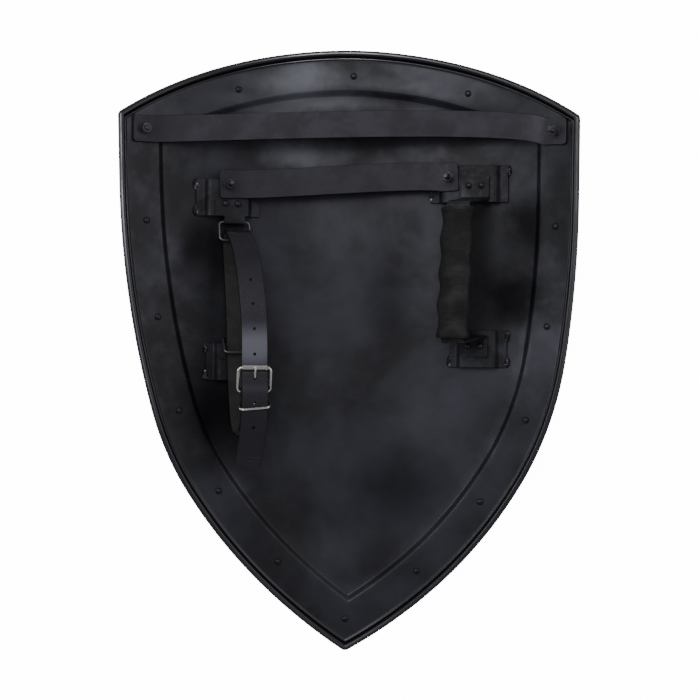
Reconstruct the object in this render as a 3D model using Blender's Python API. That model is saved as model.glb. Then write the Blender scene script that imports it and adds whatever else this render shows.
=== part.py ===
"""Heater shield of blackened steel, lying on its domed front with its hollow back up.

The plate is drawn as a flat pattern: u runs across it, to the right, and y towards the top
edge. The pattern is bent round an axis along y, and h is a height square to the sheet, over
the back face of the rim band. Everything on the back is placed by its own u, y and h.
"""
import math

import bmesh
import bpy
from mathutils import Matrix, Vector
from mathutils.geometry import delaunay_2d_cdt

# Sizes are in metres and angles in degrees.
CLEARANCE = 0.0003        # between two pieces that touch
SEAT = 0.0005             # between a piece and the bent sheet, whose facets are chords

# Outline of the flat pattern, to the outside of the rolled rim
APEX_Y = 0.3174
TIP_Y = -0.3193           # where the two sides would meet before the tip is rounded
HALF_WIDTH = 0.2486
TOP_RADIUS = 0.4487
CORNER_RADIUS = 0.0065
INNER_RADIUS = 0.003      # the least rounding of the lines inside the rim
RIGHT = {"sign": 1, "slope": 0.28, "straight": 0.0845, "bow_radius": 1.116, "bow_length": 0.1665,
         "belly_radius": 0.358, "belly_length": 0.136, "band": 0.0435, "rivet_inset": 0.0265,
         "rivet_first": 0.1135, "rivet_pitch": 0.1065}
LEFT = {"sign": -1, "slope": 1.69, "straight": 0.067, "bow_radius": 0.954, "bow_length": 0.245,
        "belly_radius": 0.320, "belly_length": 0.0905, "band": 0.045, "rivet_inset": 0.029,
        "rivet_first": 0.112, "rivet_pitch": 0.104}
TOP_BAND = 0.042
TOP_RIVET_INSET = 0.027
TIP_RIVET_Y = -0.285

# Sheet, bend and rolled rim
SHEET = 0.0012
BEND_RADIUS = 0.432       # to the back face of the rim band
FLAT_WIDTH = 0.040        # flat strip down the middle, on which the shield lies
STEP_DEPTH = 0.005        # the field is pressed this far towards the front
STEP_RUN = 0.005
STEP_ROUND = 0.0011       # how far each bend of the step is cut back
BEAD_RADIUS = 0.0035
BAND_MIDDLE = 0.55        # a crease line along the band, as a share of its width
GRID_ACROSS = 0.018
GRID_ALONG = 0.060
GRID_MARGIN = 0.010

# How many pieces each stretch of the outline has
TOP_STEPS = 9
CORNER_STEPS = 3
STRAIGHT_STEPS = 2
BOW_STEPS = 5
BELLY_STEPS = 5
POINT_STEPS = 6
TIP_STEPS = 4
BEAD_STEPS = 6

# Rivets in the rim band
RIVET_RADIUS = 0.0035
RIVET_HEIGHT = 0.0022
RIVET_SHANK = 0.0018
RIVET_FRONT_RADIUS = 0.005
RIVET_FRONT_HEIGHT = 0.003
RIVETS_PER_SIDE = 5
TOP_RIVET_ANGLE = 16.8
TOP_RIVET_TURN = 0.6      # the three top rivets sit this far round to the right

# Brackets: bridges of strip steel with a foot at each end
BRACKET_THICK = 0.0025
BRACKET_RISE = 0.010      # top of the bridge over the field
BRACKET_FOOT = 0.0095
BRACKET_RAMP = 0.0032
BRACKET_WIDTH = 0.039
BRACKET_MITRE = 0.4       # how far each bend's outside is set off, as a share of the thickness
BRACKETS = {              # middle of the bridge (u, y), length of the bridge
    "bracket_upper_left": (-0.1279, 0.159, 0.041),
    "bracket_lower_left": (-0.1182, -0.0135, 0.037),
    "bracket_upper_right": (0.1287, 0.1755, 0.0555),
    "bracket_lower_right": (0.1385, 0.0022, 0.0356),
}
WELD_LENGTH = 0.012
WELD_WIDTH = 0.0065
WELD_HEIGHT = 0.004
WELD_LIFT = 0.0002        # underside of a weld bead over the foot's
WELDS = {                 # corners of the feet with a weld bead
    "bracket_upper_left": ((-1, -1), (-1, 1)),
    "bracket_lower_left": ((-1, -1), (-1, 1)),
    "bracket_upper_right": ((1, 1), (-1, -1)),
    "bracket_lower_right": ((1, -1), (1, 1), (-1, -1)),
}

# Strap screws, washers and nuts
SCREW_RADIUS = 0.003
SCREW_HEAD_RADIUS = 0.006
SCREW_HEAD_HEIGHT = 0.0028
SCREW_CHAMFER = 0.0006    # at the screw's tip
WASHER_RADIUS = 0.006
WASHER_THICK = 0.0011
NUT_RADIUS = 0.0056       # to the corners of the hexagon
NUT_HEIGHT = 0.005
NUT_TURN = 23.0

# Carrying strap, screwed to the rim band
CARRY_WIDTH = 0.0278
CARRY_THICK = 0.0032
CARRY_SCREWS = {          # side, way in from the upper corner, way down from it, h of the screw's tip
    "left": (-1, 0.0296, 0.0151, 0.0120),
    "right": (1, 0.0275, 0.0146, 0.0235),
}
CARRY_END = 0.0125        # strap beyond the screw
CARRY_PRESSED = 0.010     # strap held flat on the inner side of the screw
CARRY_PULL = 0.120
CARRY_BOW = (0.0014, 0.0146)          # pull towards the top edge, at its left and right
CARRY_STEPS = 18

# Cross strap, screwed to the two upper brackets
CROSS_WIDTH = 0.0298
CROSS_THICK = 0.003
CROSS_SCREWS = {          # u, y, height of the screw's tip over the bridge
    "left": (-0.1280, 0.1729, 0.0215),
    "right": (0.1075, 0.1827, 0.0225),
}
CROSS_END = 0.0100
CROSS_PRESSED = 0.008
CROSS_PULL = 0.085
CROSS_BOW = (-0.0020, 0.0050)
CROSS_STEPS = 12

# Ring tabs riveted to the left brackets, and their rings
TAB_THICK = 0.0015
TAB_WIDTH = 0.0357
TAB_LENGTH = 0.0165
NECK_WIDTH = 0.0222
NECK_LENGTH = 0.0062      # from the bracket's edge to the middle of the ring's bar
NECK_SHIFT = 0.0032       # the neck sits off the tab's middle, to the right
NECK_RETURN = 0.0030      # the neck's end, bent back under the bar
WIRE_RADIUS = 0.0014
RING_WIDTH = 0.0350       # outside
RING_HEIGHT = 0.0235
RING_CORNER = 0.0050
TABS = {                  # bracket, middle of the tab, way of the neck along y, lift of the free bar
    "upper": ("bracket_upper_left", -0.1250, -1, 0.0072),
    "lower": ("bracket_lower_left", -0.1198, 1, 0.0136),
}
TAB_RIVET_RADIUS = 0.0034
TAB_RIVET_HEIGHT = 0.0022
TAB_RIVET_SHANK = 0.0016
TAB_RIVET_APART = 0.0130
TAB_RIVET_IN = 0.0130     # from the bracket's edge

# Arm belt: the middle of its thickness, with h over the field's back face
BELT_WIDTH = 0.0270
BELT_THICK = 0.0026
BELT_ROUTE = (            # u, y, h from the riveted end round to the loose end
    (-0.1062, -0.0680, 0.0598), (-0.1062, -0.0560, 0.0599), (-0.1062, -0.0480, 0.0611),
    (-0.1062, -0.0430, 0.0614), (-0.1062, -0.0404, 0.0602), (-0.1062, -0.0396, 0.0580),
    (-0.1062, -0.0404, 0.0558), (-0.1062, -0.0430, 0.0546), (-0.1062, -0.0480, 0.0549),
    (-0.1063, -0.0580, 0.0563), (-0.1065, -0.0700, 0.0556), (-0.1074, -0.0800, 0.0520),
    (-0.1090, -0.0868, 0.0455), (-0.1108, -0.0880, 0.0380), (-0.1122, -0.0835, 0.0300),
    (-0.1134, -0.0700, 0.0232), (-0.1144, -0.0480, 0.0186), (-0.1154, -0.0260, 0.0168),
    (-0.1160, -0.0080, 0.0162), (-0.1164, 0.0120, 0.0156), (-0.1172, 0.0400, 0.0136),
    (-0.1186, 0.0720, 0.0112), (-0.1200, 0.0980, 0.0102), (-0.1207, 0.1110, 0.0112),
    (-0.1207, 0.1190, 0.0138), (-0.1200, 0.1222, 0.0180), (-0.1180, 0.1200, 0.0232),
    (-0.1148, 0.1100, 0.0302), (-0.1116, 0.0900, 0.0404), (-0.1092, 0.0640, 0.0504),
    (-0.1072, 0.0340, 0.0575), (-0.1062, 0.0060, 0.0596), (-0.1059, -0.0190, 0.0580),
    (-0.1060, -0.0300, 0.0614), (-0.1061, -0.0400, 0.0656), (-0.1062, -0.0500, 0.0664),
    (-0.1064, -0.0640, 0.0650), (-0.1070, -0.0800, 0.0612), (-0.1086, -0.1000, 0.0542),
    (-0.1108, -0.1230, 0.0446),
)
BELT_HOLE_RADIUS = 0.0016
BELT_HOLE_PITCH = 0.0258  # along the belt, up and down from the hole with the tongue in it
BELT_HOLES_UP = 4
BELT_HOLES_DOWN = 2
TONGUE_HOLE_Y = -0.0300
TONGUE_HOLE_RADIUS = 0.0020

# Roller buckle and wire keeper; h is over the field's back face
BUCKLE_U = -0.1061
FRAME_WIDTH = 0.0368      # outside
FRAME_RADIUS = 0.0016
FRAME_CORNER = 0.0036
HINGE_Y = -0.0430
HINGE_H = 0.0580
ROLLER_Y = -0.0190
ROLLER_RADIUS = 0.0026
ROLLER_LENGTH = 0.0260
TONGUE_RADIUS = 0.0012
TONGUE_APPROACH = (0.0035, 0.0026)    # from the hole, down the belt and back from it
TONGUE_THROUGH = 0.0021    # straight through the hole, to each side
TONGUE_BEYOND = 0.0030     # past the roller, and as far short of it
TONGUE_HUMP = (0.92, 1.10, 1.06)      # heights on the way to the roller, as shares of the last one
TONGUE_SLOT = 0.0050       # width of the slot in the belt's fold
SLOT_BELOW = 0.0037        # the slot's start below the hinge
SLOT_PAST = 0.0007         # cut past the belt's faces
KEEPER_RADIUS = 0.0011
KEEPER_BACK = (-0.0520, 0.0522)       # y and h of its bar behind the belt
KEEPER_FRONT = (-0.0605, 0.0690)
KEEPER_SLACK = 0.0009      # between the belt's edge and the wire
KEEPER_TURN = 5.0
KEEPER_CORNER = 0.0040
CHAPE_RIVET = (-0.0565, 0.0546, 0.0616)   # y, and h of both faces of what it holds
CHAPE_RIVET_RADIUS = 0.0030
CHAPE_RIVET_HEIGHT = 0.0013
CHAPE_RIVET_SHANK = 0.0014

# Grip: a steel strip riveted to the right brackets, in a leather sleeve
GRIP_WIDTH = 0.0300       # of the feet
GRIP_NARROW = 0.0240      # of the run inside the sleeve
GRIP_THICK = 0.0025
GRIP_U = 0.1360
GRIP_FEET = {             # bracket, y of the foot's end and of its bend, y of its rivets
    "upper": ("bracket_upper_right", 0.1828, 0.1590, 0.1735),
    "lower": ("bracket_lower_right", -0.0060, 0.0160, 0.0050),
}
GRIP_HEIGHT = 0.0560      # middle of the strip over the field's back face
GRIP_TOPS = {"upper": (0.1525, 0.0085), "lower": (0.0085, 0.0140)}  # y, lean to the middle
GRIP_BEND = 0.0040
GRIP_RIVET_APART = 0.0135
GRIP_RIVET_RADIUS = 0.0034
GRIP_RIVET_HEIGHT = 0.0024
GRIP_RIVET_SHANK = 0.0018
SLEEVE_WIDTH = 0.0345
SLEEVE_THICK = 0.0215
SLEEVE_ENDS = (0.1480, 0.0130)
SLEEVE_WAVES = 4
SLEEVE_WAVE = 0.0011
SLEEVE_SQUARE = 0.7       # 1 is an ellipse, less is squarer
CHANNEL_ARCH = 0.0008     # the strip's channel is this much higher in the middle
CHANNEL_MOUTH = 0.01      # its ends lie this share of the sleeve's length inside
SLEEVE_SIDES = 12
SLEEVE_STEPS = 16

BLACK_STEEL = ("blackened steel", (0.026, 0.026, 0.030), 0.32, 0.9)
BLACK_LEATHER = ("black leather", (0.030, 0.030, 0.032), 0.50, 0.0)
GRIP_LEATHER = ("grip leather", (0.020, 0.021, 0.018), 0.75, 0.0)
NICKEL = ("nickel", (0.62, 0.60, 0.52), 0.25, 1.0)

FIELD = -STEP_DEPTH       # h of the field's back face
ROUND_SIDES = 8
RIVET_SIDES = 6
HOLE_SIDES = 6
DOME = 0.72               # the shoulder of a rivet's or screw's head, as a share of its size
BACK_HEAD = 0.6           # height of a small rivet's hidden head, as a share of the other's


def material(look):
    """The material of that name, made once."""
    name, colour, roughness, metallic = look
    if name in bpy.data.materials:
        return bpy.data.materials[name]
    made = bpy.data.materials.new(name)
    made.use_nodes = True
    shader = made.node_tree.nodes["Principled BSDF"]
    shader.inputs["Base Color"].default_value = (*colour, 1.0)
    shader.inputs["Roughness"].default_value = roughness
    shader.inputs["Metallic"].default_value = metallic
    return made


def add(name, shape, look):
    """Puts a shape into the scene as one named sub-part, with its faces pointing out."""
    bmesh.ops.recalc_face_normals(shape, faces=shape.faces)
    mesh = bpy.data.meshes.new(name)
    shape.to_mesh(mesh)
    shape.free()
    mesh.materials.append(material(look))
    made = bpy.data.objects.new(name, mesh)
    bpy.context.collection.objects.link(made)
    return made


def smooth(made, angle=40):
    made.data.shade_smooth()
    made.data.set_sharp_from_angle(angle=math.radians(angle))


def bend(u, y, h):
    """The place in the model of a point of the flat pattern."""
    run = abs(u) - FLAT_WIDTH / 2
    base = SHEET + STEP_DEPTH
    if run <= 0:
        return Vector((u, y, base + h))
    turn = run / BEND_RADIUS
    reach = BEND_RADIUS - h
    across = FLAT_WIDTH / 2 + reach * math.sin(turn)
    return Vector((math.copysign(across, u), y, base + BEND_RADIUS - reach * math.cos(turn)))


def across_way(u):
    """The direction across the sheet, to the right, at u."""
    turn = max(0.0, abs(u) - FLAT_WIDTH / 2) / BEND_RADIUS
    return Vector((math.cos(turn), 0, math.copysign(math.sin(turn), u)))


def frame_at(u, y, h):
    """A frame on the sheet: x across it, y towards the top edge, z square to it."""
    across = across_way(u)
    along = Vector((0, 1, 0))
    matrix = Matrix((across, along, across.cross(along))).transposed().to_4x4()
    matrix.translation = bend(u, y, h)
    return matrix


def spaced(start, end, count):
    """Even steps from start to end, both included."""
    return [start + (end - start) * i / count for i in range(count + 1)]


def join_rings(shape, rings, cyclic=False):
    """Faces between rings of as many points each; every ring is closed."""
    pairs = list(zip(rings, rings[1:]))
    if cyclic:
        pairs.append((rings[-1], rings[0]))
    for one, other in pairs:
        count = len(one)
        for i in range(count):
            j = (i + 1) % count
            shape.faces.new((one[i], one[j], other[j], other[i]))


def sweep(name, sections, look, cyclic=False):
    """A solid through closed sections of as many points each, capped unless it is cyclic."""
    shape = bmesh.new()
    rings = [[shape.verts.new(point) for point in section] for section in sections]
    join_rings(shape, rings, cyclic)
    if not cyclic:
        shape.faces.new(rings[0])
        shape.faces.new(reversed(rings[-1]))
    return add(name, shape, look)


def turned(name, profile, place, look, sides=ROUND_SIDES):
    """A piece turned round its own z. The profile of (radius, height) starts and ends on the axis."""
    shape = bmesh.new()
    rings = []
    for radius, height in profile[1:-1]:
        angles = [2 * math.pi * i / sides for i in range(sides)]
        rings.append([shape.verts.new((radius * math.cos(a), radius * math.sin(a), height)) for a in angles])
    join_rings(shape, rings)
    for pole, ring in ((profile[0], rings[0]), (profile[-1], rings[-1])):
        middle = shape.verts.new((0, 0, pole[1]))
        for i in range(sides):
            shape.faces.new((ring[i], ring[(i + 1) % sides], middle))
    shape.transform(place)
    made = add(name, shape, look)
    smooth(made)
    return made


def tube_ring(name, radius, bore, height, place, look, sides, turn=0.0, bore_sides=ROUND_SIDES):
    """A washer, roller or nut: a prism of that many sides round a round bore."""
    shape = bmesh.new()
    count = sides * bore_sides // math.gcd(sides, bore_sides)
    outer, inner = [], []
    flat = radius * math.cos(math.pi / sides)
    for level in (0.0, height):
        angles = [2 * math.pi * i / count for i in range(count)]
        edge = [flat / math.cos((a + math.pi / sides) % (2 * math.pi / sides) - math.pi / sides) for a in angles]
        outer.append([shape.verts.new((r * math.cos(a), r * math.sin(a), level)) for r, a in zip(edge, angles)])
        inner.append([shape.verts.new((bore * math.cos(a), bore * math.sin(a), level)) for a in angles])
    join_rings(shape, [outer[0], outer[1], inner[1], inner[0]], cyclic=True)
    shape.transform(place @ Matrix.Rotation(turn, 4, "Z"))
    return add(name, shape, look)


def wire(name, points, radius, look, cyclic=False):
    """A round wire along the points."""
    curve = bpy.data.curves.new(name, "CURVE")
    curve.dimensions = "3D"
    curve.bevel_depth = radius
    curve.bevel_resolution = 2
    curve.use_fill_caps = not cyclic
    curve.twist_mode = "MINIMUM"
    spline = curve.splines.new("POLY")
    spline.points.add(len(points) - 1)
    for control, point in zip(spline.points, points):
        control.co = (*point, 1.0)
    spline.use_cyclic_u = cyclic
    curve.materials.append(material(look))
    made = bpy.data.objects.new(name, curve)
    bpy.context.collection.objects.link(made)
    return made


def rounded_rectangle(width, height, radius, steps=2):
    """Points round a rectangle with round corners, about its middle."""
    points = []
    for i, (sx, sy) in enumerate(((1, 1), (-1, 1), (-1, -1), (1, -1))):
        for a in spaced(i * math.pi / 2, (i + 1) * math.pi / 2, steps):
            points.append((sx * (width / 2 - radius) + radius * math.cos(a),
                           sy * (height / 2 - radius) + radius * math.sin(a)))
    return points


def cut(target, places, radius, length, sides=ROUND_SIDES):
    """Drills a round hole through the target at each place, along the place's z."""
    shape = bmesh.new()
    for place in places:
        bmesh.ops.create_cone(shape, cap_ends=True, segments=sides, radius1=radius, radius2=radius,
                              depth=length, matrix=place)
    take_away(target, add(target.name + "_drill", shape, BLACK_STEEL))


def take_away(target, cutter, operation="DIFFERENCE"):
    """Cuts the cutter out of the target, or joins it on, and removes the cutter."""
    step = target.modifiers.new("shape", "BOOLEAN")
    step.operation = operation
    step.solver = "EXACT"
    step.object = cutter
    whole = target.evaluated_get(bpy.context.evaluated_depsgraph_get())
    mesh = bpy.data.meshes.new_from_object(whole)
    target.modifiers.remove(step)
    target.data = mesh
    bpy.data.objects.remove(cutter)


def downward(angle):
    """The way along a side's outline, in the half plane where u grows outward."""
    return Vector((-math.sin(angle), -math.cos(angle)))


def inward(angle):
    return Vector((-math.cos(angle), math.sin(angle)))


def side_arcs(edge):
    """The corner of a side, and the centre, radius and two angles of each of its arcs."""
    rise = math.sqrt(TOP_RADIUS ** 2 - HALF_WIDTH ** 2)
    corner = Vector((HALF_WIDTH, APEX_Y - TOP_RADIUS + rise))
    angle = math.radians(edge["slope"])
    point = corner + downward(angle) * edge["straight"]
    arcs = []
    for part in ("bow", "belly"):
        radius = edge[part + "_radius"]
        centre = point + inward(angle) * radius
        end = angle + edge[part + "_length"] / radius
        arcs.append((centre, radius, angle, end))
        point = centre - inward(end) * radius
        angle = end
    chord = Vector((0, TIP_Y)) - point
    radius = chord.length_squared / (2 * chord.dot(inward(angle)))
    centre = point + inward(angle) * radius
    arcs.append((centre, radius, angle, 2 * math.atan2(-chord.x, -chord.y) - angle))
    return corner, arcs


def tip_fillet(insets, fillet):
    """The centre of the tip's rounding, between the last arcs of both sides."""
    right_centre, right_radius = side_arcs(RIGHT)[1][-1][:2]
    left_centre, left_radius = side_arcs(LEFT)[1][-1][:2]
    left_centre = Vector((-left_centre.x, left_centre.y))
    one = right_radius - insets[2] - fillet
    other = left_radius - insets[1] - fillet
    way = left_centre - right_centre
    along = (one ** 2 - other ** 2 + way.length_squared) / (2 * way.length)
    off = math.sqrt(one ** 2 - along ** 2)
    unit = way.normalized()
    square = Vector((-unit.y, unit.x))
    if square.y > 0:
        square = -square
    return right_centre + unit * along + square * off


def half_ring(edge, top_inset, inset, fillet, tip):
    """Points of one half, from the apex to the tip's rounding, with u growing outward."""
    corner, arcs = side_arcs(edge)
    slope = math.radians(edge["slope"])
    top_centre = Vector((0, APEX_Y - TOP_RADIUS))
    base = corner + inward(slope) * (inset + fillet)
    from_top = base - top_centre
    middle = from_top.dot(downward(slope))
    gap = from_top.length_squared - (TOP_RADIUS - top_inset - fillet) ** 2
    centre = base + downward(slope) * (-middle - math.sqrt(middle ** 2 - gap))
    spoke = centre - top_centre
    top_end = math.atan2(spoke.x, spoke.y)
    points = []
    for a in spaced(0, top_end, TOP_STEPS)[:-1]:
        points.append(top_centre + Vector((math.sin(a), math.cos(a))) * (TOP_RADIUS - top_inset))
    for a in spaced(top_end, math.pi / 2 + slope, CORNER_STEPS)[:-1]:
        points.append(centre + Vector((math.sin(a), math.cos(a))) * fillet)
    start = centre - inward(slope) * fillet
    end = corner + downward(slope) * edge["straight"] + inward(slope) * inset
    for share in spaced(0, 1, STRAIGHT_STEPS)[:-1]:
        points.append(start.lerp(end, share))
    spoke = Vector((tip.x * edge["sign"], tip.y)) - arcs[-1][0]
    last = math.atan2(-spoke.y, spoke.x)
    stops = [arcs[0][3], arcs[1][3], last]
    for (centre, radius, first, _), stop, steps in zip(arcs, stops, (BOW_STEPS, BELLY_STEPS, POINT_STEPS)):
        for a in spaced(first, stop, steps)[:-1]:
            points.append(centre - inward(a) * (radius - inset))
    return points, last


def ring(insets, fillet):
    """A closed line round the flat pattern, from the apex to the right, with its own inset on
    the top, left and right."""
    tip = tip_fillet(insets, fillet)
    right, right_end = half_ring(RIGHT, insets[0], insets[2], fillet, tip)
    left, left_end = half_ring(LEFT, insets[0], insets[1], fillet, tip)
    points = list(right)
    for a in spaced(right_end, math.pi - left_end, TIP_STEPS):
        points.append(tip + Vector((math.cos(a), -math.sin(a))) * fillet)
    points += [Vector((-p.x, p.y)) for p in reversed(left[1:])]
    return points


def rim_ring(offset):
    return ring((offset,) * 3, max(CORNER_RADIUS - offset, INNER_RADIUS))


def band_ring(offset, share=1.0):
    """A line that follows the inner edge of the rim band, offset inward from it, or one that
    runs at that share of the band's width."""
    bands = (TOP_BAND, LEFT["band"], RIGHT["band"])
    return ring([band * share + offset for band in bands], INNER_RADIUS)


def is_inside(point, loop):
    """Even-odd test of a flat point in a closed loop."""
    inside = False
    for a, b in zip(loop, loop[1:] + loop[:1]):
        if (a.y > point.y) != (b.y > point.y):
            if point.x < a.x + (b.x - a.x) * (point.y - a.y) / (b.y - a.y):
                inside = not inside
    return inside


def field_grid():
    """Points inside the field, in rows along the bend so that its facets follow it."""
    loop = band_ring(STEP_RUN + GRID_MARGIN)
    columns = [FLAT_WIDTH / 2 + GRID_ACROSS * i for i in range(int(HALF_WIDTH / GRID_ACROSS))]
    rows = int(APEX_Y / GRID_ALONG)
    points = []
    for u in [-c for c in reversed(columns)] + columns:
        for row in range(-rows, rows + 1):
            point = Vector((u, row * GRID_ALONG))
            if is_inside(point, loop):
                points.append(point)
    return points


def make_plate():
    """The whole sheet: field, step, rim band and the bead rolled to the back."""
    bead_middle = BEAD_RADIUS - SHEET
    groove = -math.asin(bead_middle / BEAD_RADIUS)
    fold = SHEET * math.tan(math.atan2(STEP_DEPTH, STEP_RUN) / 2)
    slant = STEP_ROUND * math.sqrt(0.5)
    bends = ((STEP_RUN + STEP_ROUND, -STEP_DEPTH), (STEP_RUN - slant, -STEP_DEPTH + slant),
             (slant, -slant), (-STEP_ROUND, 0.0))
    levels = [(band_ring(offset), h) for offset, h in bends]
    levels.append((band_ring(0, BAND_MIDDLE), 0))
    for a in spaced(groove, 1.5 * math.pi, BEAD_STEPS):
        offset = BEAD_RADIUS + BEAD_RADIUS * math.cos(a)
        levels.append((rim_ring(offset), bead_middle + BEAD_RADIUS * math.sin(a)))
    levels.append((band_ring(0, BAND_MIDDLE), -SHEET))
    levels += [(band_ring(offset - fold), h - SHEET) for offset, h in reversed(bends)]

    shape = bmesh.new()
    rings = [[shape.verts.new(bend(p.x, p.y, h)) for p in points] for points, h in levels]
    join_rings(shape, rings)
    grid = field_grid()
    border = levels[0][0]
    loop = list(range(len(border)))
    flat = delaunay_2d_cdt(border + grid, [], [loop], 1, 1e-7)
    for outline, height in ((rings[0], FIELD), (rings[-1], FIELD - SHEET)):
        corners = outline + [shape.verts.new(bend(p.x, p.y, height)) for p in grid]
        for face in flat[2]:
            shape.faces.new([corners[flat[3][i][0]] for i in face])
    plate = add("shield_plate", shape, BLACK_STEEL)
    places = [place for _, place in rim_rivets()]
    cut(plate, places, RIVET_SHANK + CLEARANCE, 4 * SHEET, RIVET_SIDES)
    cut(plate, list(carry_places().values()), SCREW_RADIUS + CLEARANCE, 4 * SHEET)
    smooth(plate, 30)


def along_side(edge, distance, inset):
    """The point that far along the outline from the corner, moved in by the inset."""
    corner, arcs = side_arcs(edge)
    slope = math.radians(edge["slope"])
    left_over = distance - edge["straight"]
    if left_over <= 0:
        point = corner + downward(slope) * distance + inward(slope) * inset
        return Vector((point.x * edge["sign"], point.y))
    for centre, radius, first, end in arcs:
        if left_over <= radius * (end - first) or end == arcs[-1][3]:
            point = centre - inward(first + left_over / radius) * (radius - inset)
            return Vector((point.x * edge["sign"], point.y))
        left_over -= radius * (end - first)


def rim_rivets():
    """Name and place of each rivet in the rim band."""
    spots = []
    reach = TOP_RADIUS - TOP_RIVET_INSET
    for name, turn in (("left", -TOP_RIVET_ANGLE), ("middle", 0.0), ("right", TOP_RIVET_ANGLE)):
        angle = math.radians(turn + TOP_RIVET_TURN)
        spots.append(("top_" + name, reach * math.sin(angle), APEX_Y - TOP_RADIUS + reach * math.cos(angle)))
    for name, edge in (("left", LEFT), ("right", RIGHT)):
        for i in range(RIVETS_PER_SIDE):
            point = along_side(edge, edge["rivet_first"] + edge["rivet_pitch"] * i, edge["rivet_inset"])
            spots.append((f"{name}_{i + 1}", point.x, point.y))
    spots.append(("tip", 0.0, TIP_RIVET_Y))
    return [("rim_rivet_" + name, frame_at(u, y, -SHEET / 2)) for name, u, y in spots]


def rivet_profile(low, high, shank, near, far):
    """A rivet through what lies from low to high; near and far are its heads' radius and height."""
    top, bottom = high + CLEARANCE, low - CLEARANCE
    radius, height = near
    far_radius, far_height = far
    return ((0, top + height), (DOME * radius, top + DOME * height), (radius, top), (shank, top),
            (shank, bottom), (far_radius, bottom), (DOME * far_radius, bottom - DOME * far_height),
            (0, bottom - far_height))


def make_rim_rivets():
    profile = rivet_profile(-SHEET / 2, SHEET / 2, RIVET_SHANK, (RIVET_RADIUS, RIVET_HEIGHT),
                            (RIVET_FRONT_RADIUS, RIVET_FRONT_HEIGHT))
    for name, place in rim_rivets():
        turned(name, profile, place, BLACK_STEEL, RIVET_SIDES)


def make_brackets():
    """A bridge of strip steel with two feet, and the weld beads at the corners of its feet."""
    for name, (middle, y, length) in BRACKETS.items():
        half = length / 2
        ramp = half + BRACKET_RAMP
        foot = ramp + BRACKET_FOOT
        low, high = SEAT, BRACKET_RISE - BRACKET_THICK
        under = [(-foot, low), (-ramp, low), (-half, high), (half, high), (ramp, low), (foot, low)]
        mitre = BRACKET_THICK * BRACKET_MITRE
        over = [(x + math.copysign(mitre, x) * (abs(x) < foot), h + BRACKET_THICK) for x, h in under]
        outline = under + list(reversed(over))
        sections = []
        for side in (-1, 1):
            edge = y + side * BRACKET_WIDTH / 2
            sections.append([bend(middle + x, edge, FIELD + h) for x, h in outline])
        made = sweep(name, sections, BLACK_STEEL)
        for i, (sx, sy) in enumerate(WELDS[name]):
            shape = bmesh.new()
            bmesh.ops.create_uvsphere(shape, u_segments=8, v_segments=4, radius=1)
            shape.transform(Matrix.Diagonal((WELD_WIDTH / 2, WELD_LENGTH / 2, WELD_HEIGHT, 1)))
            cut_off = bmesh.ops.bisect_plane(shape, geom=shape.verts[:] + shape.edges[:] + shape.faces[:],
                                             plane_co=(0, 0, WELD_LIFT), plane_no=(0, 0, -1), clear_outer=True)
            rim = [item for item in cut_off["geom_cut"] if isinstance(item, bmesh.types.BMEdge)]
            bmesh.ops.edgeloop_fill(shape, edges=rim)
            spot = frame_at(middle + sx * foot, y + sy * (BRACKET_WIDTH - WELD_LENGTH) / 2, FIELD + SEAT)
            shape.transform(spot)
            take_away(made, add(f"{name}_weld_{i}", shape, BLACK_STEEL), "UNION")


def strap_section(middle, across, normal, width, thick):
    side, out = across * (width / 2), normal * (thick / 2)
    return [middle - side - out, middle + side - out, middle + side + out, middle - side + out]


def square_frame(across, origin):
    """A frame whose x is that way and whose y is the shield's, as near as it can be."""
    along = Vector((0, 1, 0))
    along = (along - across * along.dot(across)).normalized()
    matrix = Matrix((across, along, across.cross(along))).transposed().to_4x4()
    matrix.translation = origin
    return matrix


def bridge_place(bracket, u, y):
    """A frame on top of a bracket's bridge, which is a straight chord, at u and y."""
    middle, _, length = BRACKETS[bracket]
    left = bend(middle - length / 2, y, FIELD + BRACKET_RISE)
    right = bend(middle + length / 2, y, FIELD + BRACKET_RISE)
    return square_frame((right - left).normalized(), left.lerp(right, (u - middle) / length + 0.5))


def aimed(place, target):
    """The place, turned round its own z so that its x runs towards the target or away from it."""
    out = place.col[2].xyz
    way = target - place.translation
    way = (way - out * way.dot(out)).normalized()
    if way.dot(place.col[0].xyz) < 0:
        way = -way
    matrix = Matrix((way, out.cross(way), out)).transposed().to_4x4()
    matrix.translation = place.translation
    return matrix


def spanning_strap(name, places, lift, size, end, pressed, pull, bow, steps):
    """A strap screwed down flat at both ends, which sags a little in between."""
    width, thick = size
    left = aimed(places["left"], places["right"].translation)
    right = aimed(places["right"], places["left"].translation)
    middle = lift + thick / 2
    first, last = left @ Vector((pressed, 0, middle)), right @ Vector((-pressed, 0, middle))
    leave, arrive = left.col[0].xyz * pull, right.col[0].xyz * pull
    path = [left @ Vector((-end, 0, middle))]
    for t in spaced(0, 1, steps):
        point = (first * (2 * t ** 3 - 3 * t ** 2 + 1) + leave * (t ** 3 - 2 * t ** 2 + t)
                 + last * (3 * t ** 2 - 2 * t ** 3) + arrive * (t ** 3 - t ** 2))
        point.y += (bow[0] + (bow[1] - bow[0]) * t) * 4 * t * (1 - t)
        path.append(point)
    path.append(right @ Vector((end, 0, middle)))
    sections = []
    for i, point in enumerate(path):
        run = (path[min(i + 1, len(path) - 1)] - path[max(i - 1, 0)]).normalized()
        frame = square_frame(run, point)
        sections.append(strap_section(point, frame.col[1].xyz, frame.col[2].xyz, width, thick))
    strap = sweep(name, sections, BLACK_LEATHER)
    cut(strap, [place @ Matrix.Translation((0, 0, middle)) for place in places.values()],
        SCREW_RADIUS + CLEARANCE, 2 * thick)
    smooth(strap)


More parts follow.
